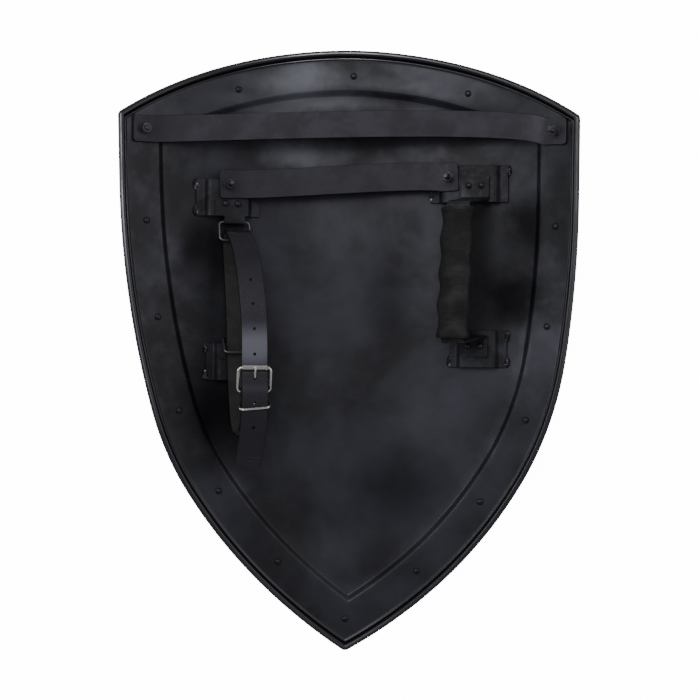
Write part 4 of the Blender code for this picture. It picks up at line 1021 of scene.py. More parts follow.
def strap_leather(name="strap leather", gloss=(0.36, 0.52), creases=False):
    """Black cowhide with a fine grain and a satin dressing; on the arm belt, creases fold it and a painted
    sheen lightens its bend.
    """
    if name in bpy.data.materials:
        return bpy.data.materials[name]
    made, nodes, shader = new_material(name)
    tint = settings().colours.leather
    grain = nodes.group(leather_group(), {"Cells": 850.0, "Wrinkle": 0.35})
    shade_of = grain.outputs["Shade"]
    look = nodes.mix(nodes.math("MULTIPLY", shade_of, 0.45), rgb(tint, 0.8), rgb(tint, 1.9))
    normal = nodes.bump(grain.outputs["Height"], 0.00009, 0.55)
    if creases:
        at = nodes.object_place()
        # Painted sheen: a pale highlight patch on the belt's bend below the buckle
        look = nodes.mix(nodes.patches(at, BELT_SHEEN), look, rgb(settings().colours.painted_highlight))
        spot = nodes.add("ShaderNodeUVMap").outputs["UV"]
        split = nodes.add("ShaderNodeSeparateXYZ", {"Vector": spot})
        wobble = nodes.noise(at, 120.0, 3.0)
        line = nodes.math("ADD", split.outputs["X"], nodes.math("MULTIPLY", wobble, 0.004))
        wave = nodes.math("SINE", nodes.math("MULTIPLY", line, 2 * math.pi / 0.0045))
        patch = nodes.between(nodes.noise(at, 26.0, 2.0), 0.52, 0.62)
        folds = nodes.math("MULTIPLY", nodes.between(wave, 0.90, 1.0), patch)
        normal = nodes.add("ShaderNodeBump", {"Height": folds, "Distance": 0.00018, "Strength": 0.5,
                                              "Normal": normal}, invert=True).outputs[0]
    nodes.fill(shader, {"Base Color": look, "Normal": normal,
                        "Roughness": nodes.between(shade_of, 0.0, 1.0, gloss[1], gloss[0]),
                        "Specular IOR Level": 0.44, "Specular Tint": (0.92, 0.90, 1.0, 1.0)})
    return made


def flesh_leather():
    """The rough side of the arm belt: a dull olive nap."""
    name = "flesh side"
    if name in bpy.data.materials:
        return bpy.data.materials[name]
    made, nodes, shader = new_material(name)
    tint = settings().colours.flesh
    at = nodes.object_place()
    nap = nodes.noise(at, 1100.0, 4.0, 0.7)
    patch = nodes.between(nodes.noise(at, 60.0, 4.0, 0.6), 0.35, 0.7)
    nodes.fill(shader, {"Base Color": nodes.mix(patch, rgb(tint, 0.7), rgb(tint, 1.35)), "Roughness": 0.88,
                        "Normal": nodes.bump(nap, 0.00025, 0.7)})
    return made


def edge_leather():
    """A cut edge, dyed and burnished, and darkened further as painted shade, so the strap ends and lower
    edges read as shadowed lines.
    """
    name = "burnished edge"
    if name in bpy.data.materials:
        return bpy.data.materials[name]
    made, nodes, shader = new_material(name)
    tint = settings().colours.flesh
    at = nodes.object_place()
    fibre = nodes.noise(at, 700.0, 3.0, 0.6)
    # Partly edge dye, partly painted shade: the edge colour is kept very dark to stand for the shadow along
    # the straps' edges
    nodes.fill(shader, {"Base Color": nodes.mix(fibre, rgb(tint, 0.12), rgb(tint, 0.4)),
                        "Roughness": nodes.between(fibre, 0.3, 0.7, 0.62, 0.48), "Specular IOR Level": 0.15,
                        "Normal": nodes.bump(fibre, 0.00008)})
    return made


def grip_hide():
    """Soft matte hide, stretched over the grip, with pulled wrinkles."""
    name = "grip hide"
    if name in bpy.data.materials:
        return bpy.data.materials[name]
    made, nodes, shader = new_material(name)
    tint = settings().colours.grip
    grain = nodes.group(leather_group(), {"Cells": 700.0, "Wrinkle": 0.9})
    at = nodes.object_place()
    pulled = nodes.add("ShaderNodeMapping", {"Vector": at, "Scale": (1.0, 2.6, 1.0)}).outputs[0]
    fold = nodes.between(nodes.noise(pulled, 70.0, 3.0, 0.55), 0.42, 0.60)
    rubbed = nodes.between(nodes.noise(at, 30.0, 3.0), 0.45, 0.68)
    height = nodes.math("ADD", nodes.math("MULTIPLY", grain.outputs["Height"], 0.25), fold)
    nodes.fill(shader, {"Base Color": nodes.mix(rubbed, rgb(tint, 0.85), rgb(tint, 1.9)),
                        "Roughness": nodes.between(rubbed, 0.0, 1.0, 0.74, 0.58), "Specular IOR Level": 0.28,
                        "Normal": nodes.bump(height, 0.00035, 0.6)})
    return made


def lit_floor():
    """A white studio floor that is lit from below for the camera and glows only softly on the shield."""
    made, nodes, shader = new_material("pale floor")
    tint = settings().colours.floor
    seen = nodes.add("ShaderNodeLightPath").outputs["Is Camera Ray"]
    nodes.fill(shader, {"Base Color": rgb(tint), "Roughness": 0.85, "Emission Color": rgb(tint),
                        "Emission Strength": nodes.between(seen, 0.0, 1.0, *FLOOR_GLOW)})
    return made


# Pieces

def uneven(u, y):
    """The slight waviness of a plate raised by hand, never below the true surface."""
    spot = Vector((u * 16, y * 16, 0.0))
    wave = 0.5 + 0.5 * noise.noise(spot) + 0.18 * noise.noise(spot * 2.7)
    return settings().plate.unevenness * max(0.0, min(1.0, wave))


def plate_levels():
    """Lines round the plate, each with its height, in three runs: back, rolled rim and front."""
    plate = settings().plate
    sheet, depth, run = plate.sheet, plate.step_depth, plate.step_run
    bead_middle = plate.bead_radius - sheet
    groove = -math.asin(bead_middle / plate.bead_radius)
    back, rim, front = [], [], []
    for share in spaced(0, 1, 10):
        drop = -depth * (1 - (0.5 - 0.5 * math.cos(math.pi * share)) ** 0.9)
        back.append((band_line(run + 0.0012 - (run + 0.0024) * share), drop))
    for share in (0.86, 0.72, 0.58, 0.44, 0.30):
        back.append((band_line(0, share), 0.0))
    for share in spaced(1, 0, 7):
        offset = RIM_FOLD[0] + (RIM_FOLD[1] - RIM_FOLD[0]) * share
        rim.append((rim_line(offset), RIM_FOLD[2] * (0.5 - 0.5 * math.cos(2 * math.pi * share))))
    for a in spaced(groove, 1.5 * math.pi, 20):
        offset = plate.bead_radius + plate.bead_radius * math.cos(a)
        rim.append((rim_line(offset), bead_middle + plate.bead_radius * math.sin(a)))
    for share in (0.30, 0.44, 0.58, 0.72, 0.86):
        front.append((band_line(0, share), -sheet))
    fold = sheet * math.tan(math.atan2(depth, run) / 2)
    for share in spaced(1, 0, 10):
        drop = -depth * (1 - (0.5 - 0.5 * math.cos(math.pi * share)) ** 0.9)
        front.append((band_line(run + 0.0012 - fold - (run + 0.0024) * share), drop - sheet))
    return back, rim, front


def field_points(border, step):
    """Points inside the border, in rows along the bend."""
    points = []
    columns = int(HALF_WIDTH / step)
    rows = int(APEX_Y / step)
    for column in range(-columns, columns + 1):
        for row in range(-rows, rows + 1):
            point = Vector((column * step, row * step))
            if is_inside(point, border):
                points.append(point)
    return points


def build_plate(name):
    shape = bmesh.new()
    plate = settings().plate
    back, rim, front = plate_levels()
    levels = back + rim + front
    rings = []
    for points, h in levels:
        lift = [uneven(p.x, p.y) if abs(p.x) < HALF_WIDTH - 0.012 else 0.0 for p in points]
        rings.append([shape.verts.new(bend(p.x, p.y, h + up)) for p, up in zip(points, lift)])
    faces = join_rings(shape, rings)
    around = len(rings[0])
    for face in faces[len(back) * around:(len(back) + len(rim) - 1) * around]:
        face.material_index = 1
    border = levels[0][0]
    inner = field_points(band_line(plate.step_run + 0.006), 0.009)
    loop = list(range(len(border)))
    flat = delaunay_2d_cdt(border + inner, [], [loop], 1, 1e-7)
    for outline, height in ((rings[0], -plate.step_depth), (rings[-1], -plate.step_depth - plate.sheet)):
        corners = outline + [shape.verts.new(bend(p.x, p.y, height + uneven(p.x, p.y))) for p in inner]
        for face in flat[2]:
            shape.faces.new([corners[flat[3][i][0]] for i in face])
    piece = new_piece(name, shape, [black_steel(with_painted_light=True), rim_steel()])
    shade(piece, 60)
    return piece


class SHIELD_OT_plate(bpy.types.Operator):
    """Build the bent plate with its pressed field and rolled rim"""
    bl_idname = "shield.plate"
    bl_label = "Plate"

    def execute(self, context):
        dress(build_plate("plate"), "plate_steel", "shield_plate")
        return {"FINISHED"}


def rim_rivet_places():
    """Name and place of each rivet in the rim band."""
    spots = []
    reach = TOP_RADIUS - TOP_RIVET_INSET
    for name, turn in (("left", -TOP_RIVET_ANGLE), ("middle", 0.0), ("right", TOP_RIVET_ANGLE)):
        angle = math.radians(turn + TOP_RIVET_TURN)
        spots.append(("top_" + name, reach * math.sin(angle), APEX_Y - TOP_RADIUS + reach * math.cos(angle)))
    for name, edge in (("left", LEFT), ("right", RIGHT)):
        for i in range(RIVETS_PER_SIDE):
            point = along_side(edge, edge["rivet_first"] + edge["rivet_pitch"] * i, edge["rivet_inset"])
            spots.append((f"{name}_{i + 1}", point.x, point.y))
    spots.append(("tip", 0.0, TIP_RIVET_Y))
    middle = -settings().plate.sheet / 2
    return {"rim_rivet_" + name: frame_at(u, y, middle) for name, u, y in spots}


def rivet_shape(name, gap, near, far, shank, look, flat=0.25):
    """A rivet about its own middle; gap is half of what it holds, near and far its two heads."""
    shape = bmesh.new()
    top = [(r, gap + h) for r, h in dome(*near, 7, flat)]
    bottom = [(r, -gap - h) for r, h in dome(*far, 7, 0.0)]
    profile = top + [(shank, gap), (shank, -gap)] + list(reversed(bottom))
    turned(shape, profile, Matrix(), 24)
    piece = new_piece(name, shape, [look])
    shade(piece, 50)
    return piece


class SHIELD_OT_rim_rivets(bpy.types.Operator):
    """Set the rivets in the rim band"""
    bl_idname = "shield.rim_rivets"
    bl_label = "Rim rivets"

    def execute(self, context):
        hardware = settings().hardware
        gap = settings().plate.sheet / 2 + CONTACT
        look = hardware_steel()
        near, far, shank = RIM_RIVET
        rivet = rivet_shape("rim_rivet", gap, (hardware.rivet_radius, near), (hardware.rivet_front, far),
                            shank, look)
        places = rim_rivet_places()
        piece = set_fasteners("rim_rivets", rivet, list(places.values()), look, spread=2 * math.pi, seed=4)
        dress(piece, "hardware_steel", *places)
        return {"FINISHED"}


def rounded_stops(stops, radius, steps=5):
    """A path through the stops in which every corner is cut to a small curve."""
    path = [stops[0]]
    for before, here, after in zip(stops, stops[1:], stops[2:]):
        one = here.lerp(before, min(0.45, radius / (before - here).length))
        other = here.lerp(after, min(0.45, radius / (after - here).length))
        for t in spaced(0, 1, steps):
            path.append(one.lerp(here, t).lerp(here.lerp(other, t), t))
    return path + [stops[-1]]


def bracket_shape(shape, bracket):
    """The bridge of strip steel with its two feet."""
    hardware = settings().hardware
    middle, y, length, _ = BRACKETS[bracket]
    half = length / 2
    ramp = half + BRACKET_RAMP
    foot = ramp + BRACKET_FOOT
    low = field_height(SEAT + hardware.bracket_thick / 2)
    high = field_height(BRACKET_RISE - hardware.bracket_thick / 2)
    ramp += 0.0008
    spots = [(-foot, low), (-(foot + ramp) / 2, low), (-ramp, low), (-half, high), (half, high), (ramp, low),
             ((foot + ramp) / 2, low), (foot, low)]
    path = rounded_stops([bend(middle + x, y, h) for x, h in spots], 0.0022)
    across = Vector((0, 1, 0))
    stations = [(point, across, run.cross(across), hardware.bracket_width)
                for point, run in zip(path, runs_along(path))]
    ribbon(shape, stations, hardware.bracket_thick, 0.0004, wide_steps=2, finishes=(0, 0, 0))
    return foot


def weld_bead(shape, place, seed):
    """A short lumpy bead along the foot's edge."""
    wide, long, high = WELD_SIZE
    old_points, old_faces = len(shape.verts), len(shape.faces)
    turned(shape, [(math.sin(a), math.cos(a)) for a in spaced(0, math.pi, 12)], Matrix(), 20)
    for vertex in list(shape.verts)[old_points:]:
        spot = vertex.co.copy()
        lump = noise.noise(spot * 2.3 + Vector((seed, 0, 0)))
        ripple = 1 + 0.10 * math.sin(spot.y * 15 + seed) + 0.16 * lump
        vertex.co = place @ Vector((spot.x * wide / 2 * ripple, spot.y * long / 2,
                                    max(spot.z, 0.0) * high * 0.85 * ripple + 0.0001))
    for face in list(shape.faces)[old_faces:]:
        face.material_index = 1


class SHIELD_OT_brackets(bpy.types.Operator):
    """Build the four welded brackets"""
    bl_idname = "shield.brackets"
    bl_label = "Brackets"

    def execute(self, context):
        width = settings().hardware.bracket_width
        looks = [bracket_steel(), weld_steel()]
        for seed, (bracket, (middle, y, _, welds)) in enumerate(BRACKETS.items()):
            shape = bmesh.new()
            foot = bracket_shape(shape, bracket)
            for i, (sx, sy) in enumerate(welds):
                place = frame_at(middle + sx * foot, y + sy * (width - WELD_SIZE[1]) / 2, field_height(SEAT))
                weld_bead(shape, place, 3.0 * seed + 1.7 * i)
            piece = new_piece("bracket_steel_" + bracket, shape, looks)
            shade(piece, 40)
            dress(piece, "plate_steel", "bracket_" + bracket)
        return {"FINISHED"}


def aimed(place, target):
    """The place, turned round its z so that its x runs towards the target or away from it."""
    out = place.col[2].xyz
    way = target - place.translation
    way = (way - out * way.dot(out)).normalized()
    if way.dot(place.col[0].xyz) < 0:
        way = -way
    return axes(way, out.cross(way), place.translation)


def span_stations(places, lift, width, thick, span, steps):
    """Stations of a strap screwed down at both ends, which sags a little in between."""
    left = aimed(places["left"], places["right"].translation)
    right = aimed(places["right"], places["left"].translation)
    middle = lift + thick / 2
    first = left @ Vector((span["pressed"], 0, middle))
    last = right @ Vector((-span["pressed"], 0, middle))
    leave, arrive = left.col[0].xyz * span["pull"], right.col[0].xyz * span["pull"]
    path = [left @ Vector((x, 0, middle)) for x in spaced(-span["end"], span["pressed"], 14)[:-1]]
    for t in spaced(0, 1, steps):
        point = (first * (2 * t ** 3 - 3 * t ** 2 + 1) + leave * (t ** 3 - 2 * t ** 2 + t)
                 + last * (3 * t ** 2 - 2 * t ** 3) + arrive * (t ** 3 - t ** 2))
        point.y += (span["bow"][0] + (span["bow"][1] - span["bow"][0]) * t) * 4 * t * (1 - t)
        path.append(point)
    path += [right @ Vector((x, 0, middle)) for x in spaced(-span["pressed"], span["end"], 14)[1:]]
    stations = []
    for point, run in zip(path, runs_along(path)):
        place = square_frame(run, point)
        stations.append((point, place.col[1].xyz, place.col[2].xyz, width))
    return ends_rounded(stations, 0.0025)


def carry_places():
    corner = side_arcs(RIGHT)[0]
    places = {}
    for name, (side, inset, drop, _) in CARRY_SCREWS.items():
        places[name] = frame_at(side * (corner.x - inset), corner.y - drop, 0)
    return places


def cross_places():
    return {side: bridge_place(f"upper_{side}", u, y) for side, (u, y, _) in CROSS_SCREWS.items()}


class SHIELD_OT_straps(bpy.types.Operator):
    """Cut the carrying strap and the cross strap"""
    bl_idname = "shield.straps"
    bl_label = "Straps"

    def execute(self, context):
        leather = settings().leather
        looks = [strap_leather(), flesh_leather(), edge_leather()]
        carry = (carry_places(), SEAT, leather.carry_width, leather.carry_thick, CARRY_SPAN)
        cross = (cross_places(), CONTACT, leather.cross_width, leather.cross_thick, CROSS_SPAN)
        for node, row in (("carrying_strap", carry), ("cross_strap", cross)):
            places, lift, width, thick, span = row
            shape = bmesh.new()
            ribbon(shape, span_stations(places, lift, width, thick, span, 90), thick, 0.0004)
            piece = new_piece(node + "_leather", shape, looks)
            shade(piece, 20)
            dress(piece, "strap_leather", node)
        return {"FINISHED"}


def nut_shape(look):
    """A hexagon nut with chamfered corners and a threaded bore."""
    hardware = settings().hardware
    height, bore = hardware.nut_height, hardware.screw_radius
    flat = hardware.nut_radius * math.cos(math.pi / 6)
    angles = [2 * math.pi * i / NUT_SIDES for i in range(NUT_SIDES)]
    hexagon = [flat / math.cos((a + math.pi / 6) % (math.pi / 3) - math.pi / 6) for a in angles]
    rounded = [min(reach, flat * 1.02) for reach in hexagon]
    inside, mouth = [bore] * NUT_SIDES, [bore + 0.0004] * NUT_SIDES
    rows = ((inside, 0.0), (rounded, 0.0), (hexagon, NUT_CHAMFER), (hexagon, height - NUT_CHAMFER),
            (rounded, height), (mouth, height), (inside, height - 0.0005))
    shape = bmesh.new()
    join_rings(shape, [ring_about(shape, Matrix(), reaches, h) for reaches, h in rows], cyclic=True)
    piece = new_piece("nut", shape, [look])
    shade(piece, 25)
    return piece


def washer_shape(look):
    hardware = settings().hardware
    radius, thick, bore = hardware.washer_radius, hardware.washer_thick, hardware.screw_radius + CONTACT
    soft = WASHER_SOFT
    rows = ((bore, 0.0), (radius - soft, 0.0), (radius, soft), (radius, thick - soft), (radius - soft, thick),
            (bore + soft, thick), (bore, thick - soft))
    shape = bmesh.new()
    join_rings(shape, [ring_about(shape, Matrix(), [r] * WASHER_SIDES, h) for r, h in rows], cyclic=True)
    piece = new_piece("washer", shape, [look])
    shade(piece, 40)
    return piece


def threaded_screw(shape, place, tip, low):
    """A screw whose round head is under what it holds, with a rolled thread up to its tip."""
    hardware = settings().hardware
    radius, pitch = hardware.screw_radius - 0.00005, hardware.thread_pitch
    end_length, end_depth = THREAD_END
    under = low - CONTACT
    rows = int((tip - under) / pitch * 6)
    rings = []
    for row in range(rows + 1):
        z = under + (tip - under) * row / rows
        taper = end_depth * max(0.0, (z - (tip - end_length)) / end_length)
        reaches = []
        for i in range(THREAD_SIDES):
            phase = (z / pitch - i / THREAD_SIDES) % 1.0
            reaches.append(radius - THREAD_DEPTH * (1 - abs(2 * phase - 1)) - taper)
        rings.append(ring_about(shape, place, reaches, z))
    join_rings(shape, rings)
    shape.faces.new(rings[0])
    shape.faces.new(reversed(rings[-1]))
    head = [(r, under - h) for r, h in dome(*SCREW_HEAD, 8, 0.2)]
    turned(shape, [(0, under), (SCREW_HEAD[0] - 0.0002, under)] + head[::-1], place, 28)


class SHIELD_OT_strap_screws(bpy.types.Operator):
    """Set the screws, washers and nuts of both straps"""
    bl_idname = "shield.strap_screws"
    bl_label = "Strap screws"

    def execute(self, context):
        leather, hardware, plate = settings().leather, settings().hardware, settings().plate
        look = hardware_steel("rubbed screws", 2.6)
        washers, nuts = {}, {}
        carry = (carry_places(), CARRY_SCREWS, SEAT + leather.carry_thick, -plate.sheet)
        cross = (cross_places(), CROSS_SCREWS, CONTACT + leather.cross_thick, -hardware.bracket_thick)
        for name, (places, screws, top, low) in (("carrying", carry), ("cross", cross)):
            for side, place in places.items():
                up = top + CONTACT
                washers[f"{name}_washer_{side}"] = place @ Matrix.Translation((0, 0, up))
                up += hardware.washer_thick + CONTACT
                nuts[f"{name}_nut_{side}"] = place @ Matrix.Translation((0, 0, up))
                shape = bmesh.new()
                threaded_screw(shape, place, screws[side][-1], low)
                screw = new_piece(f"{name}_bolt_{side}", shape, [look])
                shade(screw, 40)
                dress(screw, "hardware_steel", f"{name}_screw_{side}")
        for name, made, places, turn in (("strap_washers", washer_shape(look), washers, 0.0),
                                         ("strap_nuts", nut_shape(look), nuts, 0.4)):
            piece = set_fasteners(name, made, list(places.values()), look, turn=turn)
            dress(piece, "hardware_steel", *places)
        return {"FINISHED"}


def tab_place(level):
    bracket, u, way, _ = TABS[level]
    return bridge_place(bracket, u, BRACKETS[bracket][1] + way * settings().hardware.bracket_width / 2)


def tab_rivets(level):
    way = TABS[level][2]
    place = tab_place(level)
    spread = (-TAB_RIVET_APART / 2, TAB_RIVET_APART / 2)
    return [place @ Matrix.Translation((x, -way * TAB_RIVET_IN, 0)) for x in spread]


class SHIELD_OT_ring_tabs(bpy.types.Operator):
    """Build the tabs on the left brackets"""
    bl_idname = "shield.ring_tabs"
    bl_label = "Ring tabs"

    def execute(self, context):
        hardware = settings().hardware
        thick = hardware.tab_thick
        middle = CONTACT + thick / 2
        wrap = hardware.ring_wire + CONTACT + thick / 2
        for level, (_, _, way, _) in TABS.items():
            place = tab_place(level)
            route = [(x, middle, 0) for x in spaced(-TAB_LENGTH, -CONTACT, 10)] + [(0, middle, 1)]
            for a in spaced(math.pi / 2, -math.pi / 2, 14):
                route.append((NECK_LENGTH + wrap * math.cos(a), middle - wrap + wrap * math.sin(a), 1))
            route.append((NECK_LENGTH - NECK_RETURN, middle - 2 * wrap, 1))
            stations = []
            turn = place.to_3x3()
            for i, (run, height, neck) in enumerate(route):
                before, after = route[max(i - 1, 0)], route[min(i + 1, len(route) - 1)]
                out = Vector((0, -(after[1] - before[1]) * way, after[0] - before[0])).normalized()
                point = place @ Vector((NECK_SHIFT * neck, run * way, height))
                width = NECK_WIDTH if neck else hardware.tab_width
                if i == 0:
                    width -= 0.0012
                stations.append((point, turn @ Vector((1, 0, 0)), turn @ out, width))
            shape = bmesh.new()
            ribbon(shape, stations, thick, 0.00025, wide_steps=2, finishes=(0, 0, 0))
            piece = new_piece("tab_steel_" + level, shape, [bracket_steel()])
            shade(piece, 40)
            dress(piece, "plate_steel", "ring_tab_" + level)
        return {"FINISHED"}


class SHIELD_OT_wire_rings(bpy.types.Operator):
    """Bend the two wire rings"""
    bl_idname = "shield.wire_rings"
    bl_label = "Wire rings"

    def execute(self, context):
        hardware = settings().hardware
        radius = hardware.ring_wire
        look = wire_metal("ring wire", settings().colours.ring, 0.38, 0.6)
        for level, (_, _, way, lift) in TABS.items():
            place = tab_place(level)
            wrap = radius + CONTACT + hardware.tab_thick / 2
            bar = place @ Vector((NECK_SHIFT, way * NECK_LENGTH, CONTACT + hardware.tab_thick / 2 - wrap))
            drop = hardware.ring_height - 2 * radius
            out = place.to_3x3() @ Vector((0, -math.sqrt(drop ** 2 - lift ** 2), lift)) / drop
            across = place.col[0].xyz
            points = rounded_rectangle(hardware.ring_width - 2 * radius, drop, 0.0050 - radius, 8)
            piece = tube("ring_wire_" + level, [bar + across * x + out * (drop / 2 - y) for x, y in points],
                         radius, look, cyclic=True)
            dress(piece, "ring_steel", "wire_ring_" + level)
        return {"FINISHED"}


def belt_frames():
    """Frames along the arm belt: x across it, y along its run, z to its flesh side."""
    route = smooth_curve([Vector(stop) for stop in BELT_ROUTE], 8)
    points = [bend(u, y, field_height(h)) for u, y, h in route]
    frames = []
    for stop, point, run in zip(route, points, runs_along(points)):
        across = across_way(stop.x)
        across = (across - run * across.dot(run)).normalized()
        frames.append(axes(across, run, point))
    return frames


def belt_place(frames, start, distance):
    """The frame that far along the belt from a frame's number, either way."""
    step = 1 if distance > 0 else -1
    here, after = frames[start], frames[start + step]
    left_over = abs(distance)
    while left_over > (after.translation - here.translation).length:
        left_over -= (after.translation - here.translation).length
        start += step
        here, after = after, frames[start + step]
    return here.lerp(after, left_over / (after.translation - here.translation).length)


def belt_holes(frames):
    """Places of the punched holes, by their number from the one that holds the tongue."""
    start = max(i for i, place in enumerate(frames) if place.translation.y > TONGUE_HOLE_Y)
    first = frames[start].translation.y - TONGUE_HOLE_Y
    pitch = settings().leather.hole_pitch
    numbers = range(-BELT_HOLES_UP, BELT_HOLES_DOWN + 1)
    return {i: belt_place(frames, start, first + pitch * i) for i in numbers}


class SHIELD_OT_arm_belt(bpy.types.Operator):
    """Cut the arm belt, punch its holes and fold it round the buckle"""
    bl_idname = "shield.arm_belt"
    bl_label = "Arm belt"

    def execute(self, context):
        leather, hardware = settings().leather, settings().hardware
        frames = belt_frames()
        stations = [(p.translation, p.col[0].xyz, p.col[2].xyz, leather.belt_width) for p in frames]
        shape = bmesh.new()
        ribbon(shape, ends_rounded(stations, 0.003), leather.belt_thick, 0.0005, wide_steps=8)
        looks = [flesh_leather(), strap_leather("belt leather", (0.30, 0.46), True), edge_leather()]
        piece = new_piece("arm_belt_leather", shape, looks)
        punch = bmesh.new()
        for number, hole in belt_holes(frames).items():
            radius = leather.hole_radius if number else 0.0020
            bmesh.ops.create_cone(punch, cap_ends=True, segments=20, radius1=radius, radius2=radius,
                                  depth=1.6 * leather.belt_thick, matrix=hole)
        reach = hardware.buckle_wire + CONTACT + leather.belt_thick + SLOT_PAST
        slot = (frame_at(BUCKLE_U, HINGE_Y, field_height(HINGE_H))
                @ Matrix.Translation((0, (reach - SLOT_BELOW) / 2, 0))
                @ Matrix.Diagonal((TONGUE_SLOT, reach + SLOT_BELOW, 2 * reach, 1)))
        bmesh.ops.create_cube(punch, size=1, matrix=slot)
        take_away(piece, punch)
        shade(piece, 50)
        dress(piece, "belt_leather", "arm_belt")
        return {"FINISHED"}


def roller_height():
    """The roller's height over the field: it lies on the belt's run at its own y."""
    crest = max(range(len(BELT_ROUTE)), key=lambda i: BELT_ROUTE[i][1])
    stops = BELT_ROUTE[crest:]
    for one, other in zip(stops, stops[1:]):
        if one[1] >= ROLLER_Y >= other[1]:
            share = (one[1] - ROLLER_Y) / (one[1] - other[1])
            rest = one[2] + (other[2] - one[2]) * share
            return rest + settings().leather.belt_thick / 2 + CONTACT + settings().hardware.roller_radius


def buckle_place():
    """A frame in the buckle's plane, on the hinge bar, with y towards the roller, and its length."""
    hinge = bend(BUCKLE_U, HINGE_Y, field_height(HINGE_H))
    up = bend(BUCKLE_U, ROLLER_Y, field_height(roller_height())) - hinge
    return axes(across_way(BUCKLE_U), up.normalized(), hinge), up.length


def roller_shape(shape, place, length):
    """The turned tube on the buckle's upper bar, with its butt seam."""
    hardware = settings().hardware
    radius, bore, half = hardware.roller_radius, hardware.buckle_wire + CONTACT, hardware.roller_length / 2
    soft = 0.0003
    rows = ((bore, -half), (radius - soft, -half), (radius, -half + soft), (radius, half - soft),
            (radius - soft, half), (bore, half))
    spin = place @ Matrix.Translation((0, length, 0)) @ Matrix.Rotation(math.pi / 2, 4, "Y")
    rings = []
    for r, h in rows:
        reaches = [r] * ROLLER_SIDES
        if r > bore:
            reaches[ROLLER_SEAM] -= 0.0002
        rings.append(ring_about(shape, spin, reaches, h))
    join_rings(shape, rings, cyclic=True)


def tongue_route(place, length, hole):
    """The tongue: hooked on the hinge bar, up through the belt's hole, its end on the roller."""
    hardware = settings().hardware
    wrap = hardware.buckle_wire + CONTACT + hardware.tongue_wire
    hook = spaced(-0.95 * math.pi, -0.05 * math.pi, 6)
    route = [Vector((0, wrap * math.cos(a), wrap * math.sin(a))) for a in hook]
    inverse = place.inverted()
    through = inverse @ hole.translation
    square = (inverse.to_3x3() @ hole.col[2].xyz).normalized()
    if square.z < 0:
        square = -square
    over = hardware.roller_radius + CONTACT + hardware.tongue_wire
    route += [Vector((0, through.y - 0.0035, through.z - 0.0026)), through - square * 0.0020,
              through + square * 0.0022, Vector((0, through.y + 0.0035, over * 0.92)),
              Vector((0, length - 0.0030, over * 1.10)), Vector((0, length, over * 1.06)),
              Vector((0, length + 0.0030, over))]
    return [place @ Vector((0, point.y, point.z)) for point in route]


class SHIELD_OT_buckle(bpy.types.Operator):
    """Bend the buckle, its roller and tongue, and the wire keeper"""
    bl_idname = "shield.buckle"
    bl_label = "Buckle"

    def execute(self, context):
        hardware, leather = settings().hardware, settings().leather
        look = nickel_wire()
        place, length = buckle_place()
        outline = rounded_rectangle(hardware.buckle_width - 2 * hardware.buckle_wire, length, 0.0036, 8)
        points = [place @ Vector((x, y + length / 2, 0)) for x, y in outline]
        dress(tube("buckle_wire", points, hardware.buckle_wire, look, cyclic=True), "nickel", "buckle_frame")
        shape = bmesh.new()
        roller_shape(shape, place, length)
        roller = new_piece("buckle_tube", shape, [look])
        shade(roller, 30)
        dress(roller, "nickel", "buckle_roller")

        route = smooth_curve(tongue_route(place, length, belt_holes(belt_frames())[0]), 6)
        radii = [hardware.tongue_wire] * len(route)
        for i, share in enumerate(spaced(1.0, 0.55, 7)):
            radii[len(route) - 8 + i] = hardware.tongue_wire * share ** 0.5
        dress(tube("buckle_pin", route, radii, look), "nickel", "buckle_tongue")

        back = bend(BUCKLE_U, KEEPER_BACK[0], field_height(KEEPER_BACK[1]))
        front = bend(BUCKLE_U, KEEPER_FRONT[0], field_height(KEEPER_FRONT[1]))
        up = front - back
        across = across_way(BUCKLE_U)
        width = leather.belt_width + 2 * KEEPER_SLACK + 2 * hardware.keeper_wire
        tilt = Matrix.Rotation(math.radians(KEEPER_TURN), 3, across.cross(Vector((0, 1, 0))))
        points = []
        for x, y in rounded_rectangle(width, up.length, 0.0040, 8):
            points.append((back + front) / 2 + tilt @ (across * x) + up.normalized() * y)
        dress(tube("keeper_wire", points, hardware.keeper_wire, look, cyclic=True), "nickel", "belt_keeper")
        return {"FINISHED"}


def grip_point(y, lean, across=0.0, out=0.0):
    """A point by the middle of the grip's upper run."""
    return frame_at(GRIP_U, y, field_height(GRIP_HEIGHT)) @ Vector((across - lean, 0, out))


def grip_strip():
    """Stations along the grip's strip, from its upper foot to its lower one."""
    thick = settings().hardware.bracket_thick
    ends = {}
    for level, (bracket, end, corner, _) in GRIP_FEET.items():
        places = [bridge_place(bracket, GRIP_U, y) for y in (end, corner)]
        middle = Vector((0, 0, CONTACT + thick / 2))
        foot = [(place @ middle, place.col[0].xyz * GRIP_FOOT_WIDTH) for place in places]
        ends[level] = foot + [(grip_point(*GRIP_TOPS[level]), across_way(GRIP_U) * GRIP_RUN_WIDTH)]
    stops = ends["upper"] + ends["lower"][::-1]
    path = [stops[0]]
    for before, here, after in zip(stops, stops[1:], stops[2:]):
        pairs = []
        for other in (before, after):
            share = GRIP_BEND / (other[0] - here[0]).length
            pairs.append([a.lerp(b, share) for a, b in zip(here, other)])
        for t in spaced(0, 1, 8):
            path.append([a.lerp(b, t).lerp(b.lerp(c, t), t) for a, b, c in zip(pairs[0], here, pairs[1])])
    path.append(stops[-1])
    stations = []
    for (point, across), run in zip(path, runs_along([point for point, _ in path])):
        unit = across.normalized()
        stations.append((point, unit, run.cross(unit).normalized(), across.length))
    return stations


